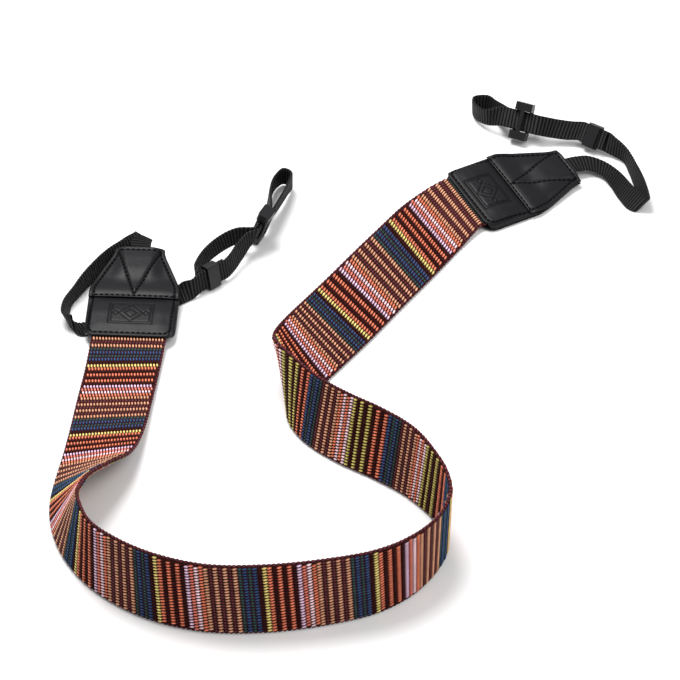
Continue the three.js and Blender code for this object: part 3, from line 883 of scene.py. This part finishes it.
def nylon_material():
    """Ribbed webbing: painted shade in the grooves, a painted highlight and more shine on the
    crests, and fine threads along its length.
    """
    look = Look("ribbed_nylon", roughness=0.55)
    threads = look.threads("Y", {"Scale": 330, "Distortion": 0.8, "Detail Scale": 3})
    along = look.node("ShaderNodeSeparateXYZ", {"Vector": look.place("UV")}, "X")
    angle = look.product(along, 2 * math.pi / sizes().rib_pitch)
    ribs = look.node("ShaderNodeMath", {0: angle}, "Value", operation="COSINE")
    crest = look.spread(ribs, 0.0, 1.0, start=-1)
    nylon = colours().nylon
    # Painted shade and highlight: the colour runs from a fifth of the nylon's own in each groove to
    # nearly twice it on each crest.
    look.set("Base Color", look.mixed(crest, shade(nylon, 0.2), shade(nylon, 1.8)))
    look.set("Specular IOR Level", look.spread(crest, 0.04, 0.3))
    look.bump(threads, 0.55, 0.00022)
    return look.material


def plastic_material():
    """Moulded plastic with a fine spark-eroded texture and light wear."""
    look = Look("moulded_plastic", roughness=0.5, specular=0.3)
    wear = look.noise(90, 4)
    plastic = colours().plastic
    look.set("Base Color", look.mixed(wear, shade(plastic, 0.8), shade(plastic, 1.5)))
    look.set("Roughness", look.spread(wear, 0.28, 0.48))
    look.bump(look.noise(1800, 2), 0.12, 0.0001)
    return look.material


def floor_material():
    """A pale table with hardly any unevenness."""
    look = Look("pale_floor", roughness=0.8)
    pale = colours().floor
    look.set("Base Color", look.mixed(look.noise(6, 2), shade(pale, 0.99), shade(pale, 1.01)))
    return look.material


MATERIALS = {}


def material_from(maker):
    """The maker's material, made at its first use."""
    if maker not in MATERIALS:
        MATERIALS[maker] = maker()
    return MATERIALS[maker]


# The woven band.

def between(rows, value, known=0, wanted=1):
    """Straight-line lookup in ordered rows, from a known column to a wanted one."""
    for a, b in zip(rows, rows[1:]):
        if value <= b[known] or b is rows[-1]:
            share = (value - a[known]) / (b[known] - a[known])
            return a[wanted] + (b[wanted] - a[wanted]) * share


def section_at(goal):
    """The band's section at a distance along its foot, between its two nearest samples."""
    low, high = 0, len(BAND_SECTIONS) - 1
    while high - low > 1:
        middle = (low + high) // 2
        if BAND_SECTIONS[middle]["foot_distance"] <= goal:
            low = middle
        else:
            high = middle
    a, b = BAND_SECTIONS[low], BAND_SECTIONS[high]
    span = b["foot_distance"] - a["foot_distance"]
    share = min(1, max(0, (goal - a["foot_distance"]) / span)) if span else 0
    keys = ("foot", "top", "foot_normal", "top_normal")
    section = {key: a[key].lerp(b[key], share) for key in keys}
    section["along"] = (b["foot"] + b["top"] - a["foot"] - a["top"]).normalized()
    return section


def weave_rows():
    """Each row's places on the foot and top edges, its pitches there and its names by face."""
    tab_share = 1 / (len(band_stations()) - 1)
    start = next(s["foot_distance"] for s in BAND_SECTIONS if s["share"] >= tab_share - 1e-9)
    total = BAND_SECTIONS[-1]["foot_distance"] - start
    count = len(FRONT_REPEAT)
    first = math.ceil(between(REPEAT_LANDMARKS, -start * WOVEN_INTO_TAB, 0, 2) * count)
    end = total - BAND_INSET * (1 - WOVEN_INTO_TAB)
    last = math.floor(between(REPEAT_LANDMARKS, end, 0, 2) * count)
    rows = []
    for k in range(first, last + 1):
        places = [between(REPEAT_LANDMARKS, k / count, 2, edge) + start for edge in (0, 1)]
        ends = [between(REPEAT_LANDMARKS, (k + 1) / count, 2, edge) + start for edge in (0, 1)]
        pitches = []
        for edge, key in enumerate(("foot", "top")):
            here, after = section_at(places[edge]), section_at(ends[edge])
            pitches.append((after[key] - here[key]).length)
        rows.append({
            "places": places,
            "pitches": pitches,
            "front": FRONT_REPEAT[k % count],
            "back": BACK_REPEAT[round(k - BACK_SHIFT * count) % count],
            "number": k,
        })
    return rows


def blend(pair, share):
    """The value at a share of the way from the foot edge to the top edge."""
    return pair[0] * (1 - share) + pair[1] * share


def float_points(rows, side, face):
    """The bright and the dark floats of a side, whose face is 1 for the front, -1 for the back."""
    rng = random.Random(FLOAT_SEEDS[side])
    half = sizes().core_thickness / 2
    edge = sizes().selvedge_bump * FLOAT_MARGIN / BAND_WIDTH
    spacing = (1 - 2 * edge) / FLOAT_COLUMNS
    points = {kind: [] for kind in FLOAT_FORMS}
    for row in rows:
        name = row[side]
        kind = "dark" if name in DARK_ROWS else "bright"
        form = FLOAT_FORMS[kind]
        colour = getattr(colours(), YARN_OF_ROW.get(name, name))
        missing = row["number"] % 2 if name in BRICK_ROWS else 0
        offset = edge + spacing * (1 + missing) / 2
        slant = math.radians(form["slant"]) * face
        for j in range(FLOAT_COLUMNS - missing):
            share = offset + j * spacing
            section = section_at(blend(row["places"], share))
            normal = section_normal(section, share) * face
            rise = (section["top"] - section["foot"]).normalized()
            along = section["along"] * math.cos(slant) + rise * math.sin(slant)
            tint = shade(colour, rng.uniform(*FLOAT_TINTS))
            height = sizes().float_height * form["height"] * rng.uniform(*FLOAT_HEIGHTS)
            length = blend(row["pitches"], share) * form["length"]
            points[kind].append({
                "place": on_section(section, share, face * half) + SHIFT,
                "turn": turn_of(along, normal),
                "size": (length, BAND_WIDTH * spacing * form["width"], height),
                "tint": (*tint, 1),
            })
    return points


def selvedge_points(rows):
    """One bump for each row on both edges."""
    rng = random.Random(SELVEDGE_SEED)
    bump = sizes().selvedge_bump
    inset = bump / 2 / BAND_WIDTH
    points = []
    for row in rows:
        for share, pitch, place in zip((inset, 1 - inset), row["pitches"], row["places"]):
            section = section_at(place)
            height = bump * rng.uniform(*SELVEDGE_HEIGHTS)
            points.append({
                "place": on_section(section, share, 0) + SHIFT,
                "turn": turn_of(section["along"], section_normal(section, share)),
                "size": (pitch * SELVEDGE_LENGTH, bump, height),
                "tint": (*shade(colours().maroon, rng.uniform(*SELVEDGE_TINTS)), 1),
            })
    return points


class STRAP_OT_band(bpy.types.Operator):
    """The woven band: its dark core, the floats of both faces and the selvedges"""

    bl_idname = "strap.band"
    bl_label = "Woven band"

    def execute(self, context):
        half = sizes().core_thickness / 2
        thin = half * CORE_EDGE
        bevel = half / BAND_WIDTH
        inset = sizes().selvedge_bump * CORE_MARGIN / BAND_WIDTH
        side = [(inset, thin), (bevel + inset, half)]
        side += [(k / CORE_PARTS, half) for k in range(1, CORE_PARTS)]
        side += [(1 - inset - bevel, half), (1 - inset, thin)]
        core = ribbon_mesh("woven_band_core", BAND_SECTIONS, both_faces(side))
        finish_piece(core, material_from(ground_material), "woven_cotton", "woven_band")
        rows = weave_rows()
        yarn = material_from(yarn_material)
        shapes = {
            "bright": ringed_shape("round_float", 7, [(0.5, -0.1), (0.44, 0.52), (0.25, 0.9)]),
            "dark": ringed_shape("flat_float", 6, [(0.5, -0.25), (0.42, 0.6)]),
            "bead": capsule_shape("bead"),
        }
        points = selvedge_points(rows)
        pieces = [copies_on_points("woven_band_selvedges", shapes["bead"], points, yarn)]
        for side, face in (("front", 1), ("back", -1)):
            points = float_points(rows, side, face)
            for kind in ("bright", "dark"):
                name = f"woven_band_{side}_{kind}_floats"
                pieces.append(copies_on_points(name, shapes[kind], points[kind], yarn))
        for shape in shapes.values():
            bpy.data.objects.remove(shape)
        for piece in pieces:
            finish_piece(piece, None, "woven_cotton")
        return {"FINISHED"}


# The leather tabs.

OUTLINE_STEPS = 48
CORNER_STEPS = 8
FINE_CORNER_STEPS = 12
# The sides of a panel's cells: the plain back's, the motif's and the seams'.
PLAIN_CELL = 0.0012
MOTIF_CELL = 0.00042
SEAM_CELL = 0.0005


def smooth(value, low, high):
    """0 at low and 1 at high, with a soft start and end."""
    t = min(1, max(0, (value - low) / (high - low)))
    return t * t * (3 - 2 * t)


def half_width_at(v, inset=0, base=0):
    """Half the leather's width at v along the tab, inside its edge by inset, from a base edge."""
    full = TAB_WIDTH / 2 - inset
    if v - base < TAB_CORNER_RADIUS:
        radius = TAB_CORNER_RADIUS - inset
        reach = min(radius, TAB_CORNER_RADIUS - v + base)
        return full - radius + math.sqrt(max(0, radius ** 2 - reach ** 2))
    share = v / TAB_LENGTH
    if share <= TAB_PROFILE[0][0]:
        return full
    return TAB_WIDTH / 2 * between(TAB_PROFILE, share) - inset


def corner_rows(start, steps):
    """Rows that follow a rounded corner, without its last one."""
    turns = [math.pi / 2 * k / steps for k in range(steps)]
    return [start + TAB_CORNER_RADIUS * (1 - math.cos(turn)) for turn in turns]


def outline_points(start, end, inset=0, base=0):
    """The right half of the outline of the stretch from start to end, then its left half."""
    steps = [start + (end - start) * k / OUTLINE_STEPS for k in range(OUTLINE_STEPS + 1)]
    if start - base < TAB_CORNER_RADIUS:
        corner = corner_rows(start, CORNER_STEPS) + [start + TAB_CORNER_RADIUS]
        steps = corner + [v for v in steps if v > corner[-1] + 1e-6]
    right = [(half_width_at(v, inset, base), v) for v in steps]
    return right + [(-u, v) for u, v in reversed(right)]


def distance_to(points, u, v, closed=True):
    """The distance of (u, v) from a line through points, in metres."""
    best = 1.0
    last = len(points) if closed else len(points) - 1
    for i in range(last):
        ax, ay = points[i]
        bx, by = points[(i + 1) % len(points)]
        dx, dy = bx - ax, by - ay
        length = dx * dx + dy * dy
        t = ((u - ax) * dx + (v - ay) * dy) / length if length else 0
        t = min(1, max(0, t))
        best = min(best, math.hypot(u - ax - t * dx, v - ay - t * dy))
    return best


MOTIF_MIDDLE = 0.0134
MOTIF_REACH = 0.013


def lozenge_line(x, radius):
    y = MOTIF_MIDDLE
    return [(x, y - radius), (x + radius, y), (x, y + radius), (x - radius, y)]


def frame_line(half_width, half_height):
    low, high = MOTIF_MIDDLE - half_height, MOTIF_MIDDLE + half_height
    return [(-half_width, low), (half_width, low), (half_width, high), (-half_width, high)]


# A plain lozenge between two small ones in a double frame, pressed into the lower panel.
MOTIF_LINES = [
    frame_line(0.0110, 0.0078),
    frame_line(0.0098, 0.0066),
    lozenge_line(0, 0.0062),
    lozenge_line(0, 0.0031),
    lozenge_line(-0.0077, 0.0016),
    lozenge_line(0.0077, 0.0016),
]
MOTIF_WIDTH = 0.00055
MOTIF_DEPTH = 0.0003
GROOVE_WIDTH = 0.0008
GROOVE_DEPTH = 0.0004
# How far in from the stitches the puff is full, how far before the seam it starts to fall, and
# how much less the upper panel and the groove along its seam have of it.
PUFF_REACH = 0.009
SEAM_FALL = 0.006
UPPER_SHARE = 0.6
# How dark the pressed lines are, as shares.
SEAM_SHADE = 0.42
MOTIF_SHADE = 0.75
# How far the upper panel bridges beside the webbing, past its end and past the lower panel.
TENT_HALF_WIDTH = TAB_WIDTH * 0.3
TENT_END = TAB_LENGTH * 0.25
TENT_START = TAB_LENGTH * 0.18
# How far a stitch's middle lies above the leather, as a share of its thickness.
STITCH_RISE = 0.2
# How much thinner the upper panel is at its seam, and how far it swells inside the V.
SKIVE = 0.0004
V_SWELL = 0.0004
V_SWELL_REACH = 0.002
SEAM = SEAM_SHARE * TAB_LENGTH
SEAM_STITCHES = SEAM + 0.0012
V_SEAM = [(-0.0112, TAB_LENGTH - 0.0024), (0, SEAM + 0.0022), (0.0112, TAB_LENGTH - 0.0024)]
V_SLOPE = V_SEAM[2][0] / (V_SEAM[2][1] - V_SEAM[1][1])


def groove(distance, width):
    """How deep a groove is at a distance from its middle, as a share of its depth."""
    share = distance / width
    return (1 - share * share) ** 2 if share < 1 else 0


def falloff(distance, flat, end):
    return 1 - smooth(distance, flat, end)


def flat_underside(u, v):
    return 0


def lower_underside(u, v):
    over = falloff(abs(u), BAND_WIDTH / 2 + SIDE_GAP, BAND_WIDTH / 2 + SIDE_GAP + BAND_THICKNESS)
    over *= falloff(v, BAND_INSET, SEAM + PANEL_OVERLAP)
    return BAND_LEVEL + (BAND_THICKNESS + PIECE_GAP) * over


def upper_underside(u, v):
    """The webbing and the lower panel both lift it, and the leather bridges the hollow between."""
    over = falloff(abs(u), WEBBING_WIDTH / 2 + SIDE_GAP, TENT_HALF_WIDTH)
    over *= falloff(TAB_LENGTH - v, WEBBING_INSET, WEBBING_INSET + TENT_END)
    on_panel = falloff(v, SEAM + PANEL_OVERLAP, SEAM + PANEL_OVERLAP + TENT_START)
    webbing_lift, panel_lift = WEBBING_THICKNESS + PIECE_GAP, LEATHER_THICKNESS + PIECE_GAP
    return BAND_LEVEL + max(webbing_lift, panel_lift) * (1 - (1 - over) * (1 - on_panel))


def no_relief(u, v, edge, skirt):
    return 0, 0


def lower_relief(u, v, edge, skirt):
    """How far the lower panel's front stands out, and how much it is pressed in, from 0 to 1."""
    inset = sizes().stitch_inset
    height = sizes().puff * smooth(TAB_WIDTH / 2 - abs(u), inset, PUFF_REACH)
    height *= smooth(v + skirt, inset, PUFF_REACH) * falloff(v, SEAM - SEAM_FALL, SEAM)
    seam = groove(abs(edge - inset), GROOVE_WIDTH)
    motif = 0
    if abs(u) < MOTIF_REACH and v < SEAM:
        motif = groove(min(distance_to(line, u, v) for line in MOTIF_LINES), MOTIF_WIDTH)
    pressed = max(seam * SEAM_SHADE, motif * MOTIF_SHADE)
    return height - seam * GROOVE_DEPTH - motif * MOTIF_DEPTH, pressed


def upper_relief(u, v, edge, skirt):
    """How far the upper panel's front stands out, and how much it is pressed in, from 0 to 1."""
    height = sizes().puff * UPPER_SHARE * smooth(edge, sizes().stitch_inset, PUFF_REACH)
    height -= SKIVE * falloff(v, SEAM, SEAM + PANEL_OVERLAP)
    near = distance_to(V_SEAM, u, v, False)
    if abs(u) < (v - V_SEAM[1][1]) * V_SLOPE:
        height += V_SWELL * smooth(near, 0, V_SWELL_REACH)
    around = groove(abs(edge - sizes().stitch_inset), GROOVE_WIDTH)
    across = groove(abs(v - SEAM_STITCHES), GROOVE_WIDTH)
    in_v = groove(near, GROOVE_WIDTH)
    pressed = SEAM_SHADE * max(around, across, in_v)
    return height - GROOVE_DEPTH * (around + across * UPPER_SHARE + in_v), pressed


def leather_sheet(name, start, end, cell, underside, relief, basis, skirt):
    """A leather panel with rounded cut edges: two grids of cells that meet along the outline."""
    base = min(start, 0)
    count = round((end - start) / cell)
    rows = [start + (end - start) * k / count for k in range(count + 1)]
    if start <= 0:
        fine = corner_rows(start, FINE_CORNER_STEPS)
        rows = fine + [v for v in rows if v > fine[-1] + cell / 2]
    columns = round(TAB_WIDTH / cell)
    outline = outline_points(start, end, 0, base)
    front_outline = outline_points(-skirt, TAB_LENGTH, 0, -skirt)
    radius = sizes().rim_radius
    mesh = bmesh.new()
    pressed_layer = mesh.verts.layers.float.new("pressed")

    def vert_at(u, v, height):
        return mesh.verts.new(basis @ Vector((u, v, height)) + SHIFT)

    tops, lows = [], []
    for i, v in enumerate(rows):
        half = half_width_at(v, 0, base)
        tops.append([])
        lows.append([])
        for j in range(columns + 1):
            u = half * (2 * j / columns - 1)
            on_edge = i in (0, len(rows) - 1) or j in (0, columns)
            edge = 0 if on_edge else distance_to(outline, u, v)
            rim = math.sqrt(1 - (1 - min(1, edge / radius)) ** 2)
            middle = underside(u, v) + LEATHER_THICKNESS / 2
            if edge == 0:
                top = low = vert_at(u, v, middle)
            else:
                lift = LEATHER_THICKNESS / 2 * rim
                added, pressed = relief(u, v, distance_to(front_outline, u, v), skirt)
                top = vert_at(u, v, middle + lift + added * rim)
                top[pressed_layer] = pressed
                low = vert_at(u, v, middle - lift)
            tops[-1].append(top)
            lows[-1].append(low)
    join_rows(mesh, tops)
    join_rows(mesh, lows, flip=True)
    return piece_from_bmesh(name, mesh)


class STRAP_OT_tabs(bpy.types.Operator):
    """The leather tabs: a back, a lower panel with its pressed motif and an upper panel each"""

    bl_idname = "strap.tabs"
    bl_label = "Leather tabs"

    def execute(self, context):
        leather = material_from(leather_material)
        for side, (place, basis, _) in SIDES.items():
            skirt, seam_end = place["skirt"], SEAM + PANEL_OVERLAP
            for name, *shape in (
                ("tab_back", 0, TAB_LENGTH, PLAIN_CELL, flat_underside, no_relief),
                ("tab_lower_panel", -skirt, seam_end, MOTIF_CELL, lower_underside, lower_relief),
                ("tab_upper_panel", SEAM, TAB_LENGTH, SEAM_CELL, upper_underside, upper_relief),
            ):
                piece = leather_sheet(f"{side}_{name}_leather", *shape, basis, skirt)
                finish_piece(piece, leather, "leather", f"{side}_{name}")
        return {"FINISHED"}


# Stitches.

def spaced(points, spacing, closed=False):
    """Places and directions at an even spacing along a path of (u, v) points."""
    if closed:
        points = points + points[:1]
    lengths = [math.hypot(b[0] - a[0], b[1] - a[1]) for a, b in zip(points, points[1:])]
    count = max(1, round(sum(lengths) / spacing))
    step = sum(lengths) / count
    places = []
    goal, travelled = step / 2, 0
    for (a, b), length in zip(zip(points, points[1:]), lengths):
        while length and goal <= travelled + length + 1e-9:
            t = (goal - travelled) / length
            heading = ((b[0] - a[0]) / length, (b[1] - a[1]) / length)
            places.append(((a[0] + (b[0] - a[0]) * t, a[1] + (b[1] - a[1]) * t), heading))
            goal += step
        travelled += length
    return places


def stitch_points(basis, skirt):
    """The stitches around a tab's front, along its seam and in its V."""
    inset = sizes().stitch_inset
    around = outline_points(inset - skirt, TAB_LENGTH - inset, inset, -skirt)
    front_outline = outline_points(-skirt, TAB_LENGTH, 0, -skirt)
    seam_half = half_width_at(SEAM_STITCHES, inset)
    paths = [
        (around, True),
        ([(-seam_half, SEAM_STITCHES), (seam_half, SEAM_STITCHES)], False),
        (V_SEAM, False),
    ]
    size = (sizes().stitch_length, sizes().stitch_thickness, sizes().stitch_thickness)
    out = basis.to_3x3().col[2].normalized()
    points = []
    for path, closed in paths:
        for (u, v), (du, dv) in spaced(path, sizes().stitch_spacing, closed):
            upper = v > SEAM
            under = upper_underside(u, v) if upper else lower_underside(u, v)
            edge = distance_to(front_outline, u, v)
            relief, _ = (upper_relief if upper else lower_relief)(u, v, edge, skirt)
            w = under + LEATHER_THICKNESS + relief + sizes().stitch_thickness * STITCH_RISE
            along = basis.to_3x3() @ Vector((du, dv, 0))
            points.append({
                "place": basis @ Vector((u, v, w)) + SHIFT,
                "turn": turn_of(along, out),
                "size": size,
                "tint": (0, 0, 0, 1),
            })
    return points


class STRAP_OT_stitches(bpy.types.Operator):
    """The stitches around each tab, along its seam and in its V"""

    bl_idname = "strap.stitches"
    bl_label = "Stitches"

    def execute(self, context):
        bead = capsule_shape("stitch")
        thread = material_from(thread_material)
        for side, (place, basis, _) in SIDES.items():
            points = stitch_points(basis, place["skirt"])
            piece = copies_on_points(f"{side}_tab_stitches", bead, points, thread)
            finish_piece(piece, None, "leather")
        bpy.data.objects.remove(bead)
        return {"FINISHED"}


# Webbing, keepers and buckles.

class STRAP_OT_webbing(bpy.types.Operator):
    """The ribbed narrow webbing of both ends"""

    bl_idname = "strap.webbing"
    bl_label = "Webbing"

    def execute(self, context):
        pitch, depth = sizes().rib_pitch, sizes().rib_depth
        half = WEBBING_THICKNESS / 2
        rounding = [(0.0, 0.35), (0.02, 0.72), (0.055, 0.95), (0.1, 1.0)]
        side = [(share, half * h) for share, h in rounding] + [(0.5, half)]
        side += [(1 - share, half * h) for share, h in reversed(rounding)]

        def ribs(distance):
            return depth * (math.cos(2 * math.pi * distance / pitch) - 1) / 2

        for name in SIDES:
            sections = ribbon_sections(webbing_route(name), WEBBING_WIDTH, WEBBING_STEP)
            piece = ribbon_mesh(f"{name}_webbing_ribbed", sections, both_faces(side), ribs)
            finish_piece(piece, material_from(nylon_material), "nylon_webbing", f"{name}_webbing")
        return {"FINISHED"}


def softened_copy(node, radius):
    """A copy of a solid with merged corners and rounded edges."""
    mesh = bmesh.new()
    mesh.from_mesh(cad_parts[node].data)
    bmesh.ops.remove_doubles(mesh, verts=mesh.verts, dist=1e-6)
    bmesh.ops.dissolve_limit(
        mesh, angle_limit=math.radians(3), verts=mesh.verts, edges=mesh.edges
    )
    sharp = [e for e in mesh.edges if e.is_manifold and e.calc_face_angle() > math.radians(50)]
    bmesh.ops.bevel(
        mesh, geom=sharp, offset=radius, segments=2, profile=0.6, affect="EDGES", clamp_overlap=True
    )
    for face in mesh.faces:
        face.smooth = True
    piece = piece_from_bmesh(node + "_moulded", mesh)
    modifier = piece.modifiers.new("normals", "WEIGHTED_NORMAL")
    modifier.keep_sharp = True
    return piece


class STRAP_OT_hardware(bpy.types.Operator):
    """The moulded keepers and slide buckles"""

    bl_idname = "strap.hardware"
    bl_label = "Keepers and buckles"

    def execute(self, context):
        plastic = material_from(plastic_material)
        for side in SIDES:
            for kind, radius in (("keeper", 0.0002), ("buckle", 0.0003)):
                node = f"{side}_{kind}"
                finish_piece(softened_copy(node, radius), plastic, "black_plastic", node)
        return {"FINISHED"}


# The stage.

# Each light's name, place, size in metres and power in watts.
LIGHTS = (
    ("key light", (-0.35, 0.45, 1.3), 0.8, 24),
    ("fill light", (0.7, -0.5, 1.2), 1.0, 9),
)
DAYLIGHT = 0.5
FLOOR_SIZE = 3


def area_light(name, place, size, power):
    """A soft round light that faces the middle of the table."""
    data = bpy.data.lights.new(name, "AREA")
    data.shape = "DISK"
    data.size = size
    data.energy = power
    light = bpy.data.objects.new(name, data)
    light.location = place
    light.rotation_euler = (-Vector(place)).to_track_quat("-Z", "Y").to_euler()
    bpy.context.scene.collection.objects.link(light)


class STRAP_OT_stage(bpy.types.Operator):
    """The camera, the pale floor and the soft lights"""

    bl_idname = "strap.stage"
    bl_label = "Stage"

    def execute(self, context):
        scene = context.scene
        away = Vector((0, -math.cos(VIEW_ELEVATION), math.sin(VIEW_ELEVATION)))
        data = bpy.data.cameras.new("camera")
        data.sensor_width = 36
        data.lens = VIEW_LENS
        data.clip_end = 20
        camera = bpy.data.objects.new("camera", data)
        camera.location = SHIFT + away * VIEW_DISTANCE
        camera.rotation_euler = (-away).to_track_quat("-Z", "Y").to_euler()
        scene.collection.objects.link(camera)
        scene.camera = camera
        mesh = bmesh.new()
        bmesh.ops.create_grid(mesh, x_segments=1, y_segments=1, size=FLOOR_SIZE)
        floor = piece_from_bmesh("floor", mesh)
        floor.data.materials.append(floor_material())
        world = bpy.data.worlds.new("soft daylight")
        world.use_nodes = True
        background = world.node_tree.nodes["Background"]
        background.inputs["Color"].default_value = (1, 1, 1, 1)
        background.inputs["Strength"].default_value = DAYLIGHT
        scene.world = world
        for light in LIGHTS:
            area_light(*light)
        scene.view_settings.view_transform = "Standard"
        return {"FINISHED"}


class STRAP_PT_panel(bpy.types.Panel):
    """Lists the strap's pieces, sizes and colours"""

    bl_idname = "STRAP_PT_panel"
    bl_label = "Laid Neck Strap"
    bl_space_type = "VIEW_3D"
    bl_region_type = "UI"
    bl_category = "Strap"

    def draw(self, context):
        for step in STEPS:
            self.layout.operator(step.bl_idname)
        for group in (context.scene.strap_sizes, context.scene.strap_colours):
            column = self.layout.column(align=True)
            for name in group.__annotations__:
                column.prop(group, name)


STEPS = (
    STRAP_OT_stage,
    STRAP_OT_band,
    STRAP_OT_tabs,
    STRAP_OT_stitches,
    STRAP_OT_webbing,
    STRAP_OT_hardware,
)
CLASSES = (StrapSizes, StrapColours) + STEPS + (STRAP_PT_panel,)


def register():
    for item in CLASSES:
        bpy.utils.register_class(item)
    bpy.types.Scene.strap_sizes = bpy.props.PointerProperty(type=StrapSizes)
    bpy.types.Scene.strap_colours = bpy.props.PointerProperty(type=StrapColours)


def unregister():
    del bpy.types.Scene.strap_colours
    del bpy.types.Scene.strap_sizes
    for item in reversed(CLASSES):
        bpy.utils.unregister_class(item)


def main():
    register()
    for step in STEPS:
        group, name = step.bl_idname.split(".")
        getattr(getattr(bpy.ops, group), name)()


if __name__ == "__main__":
    main()
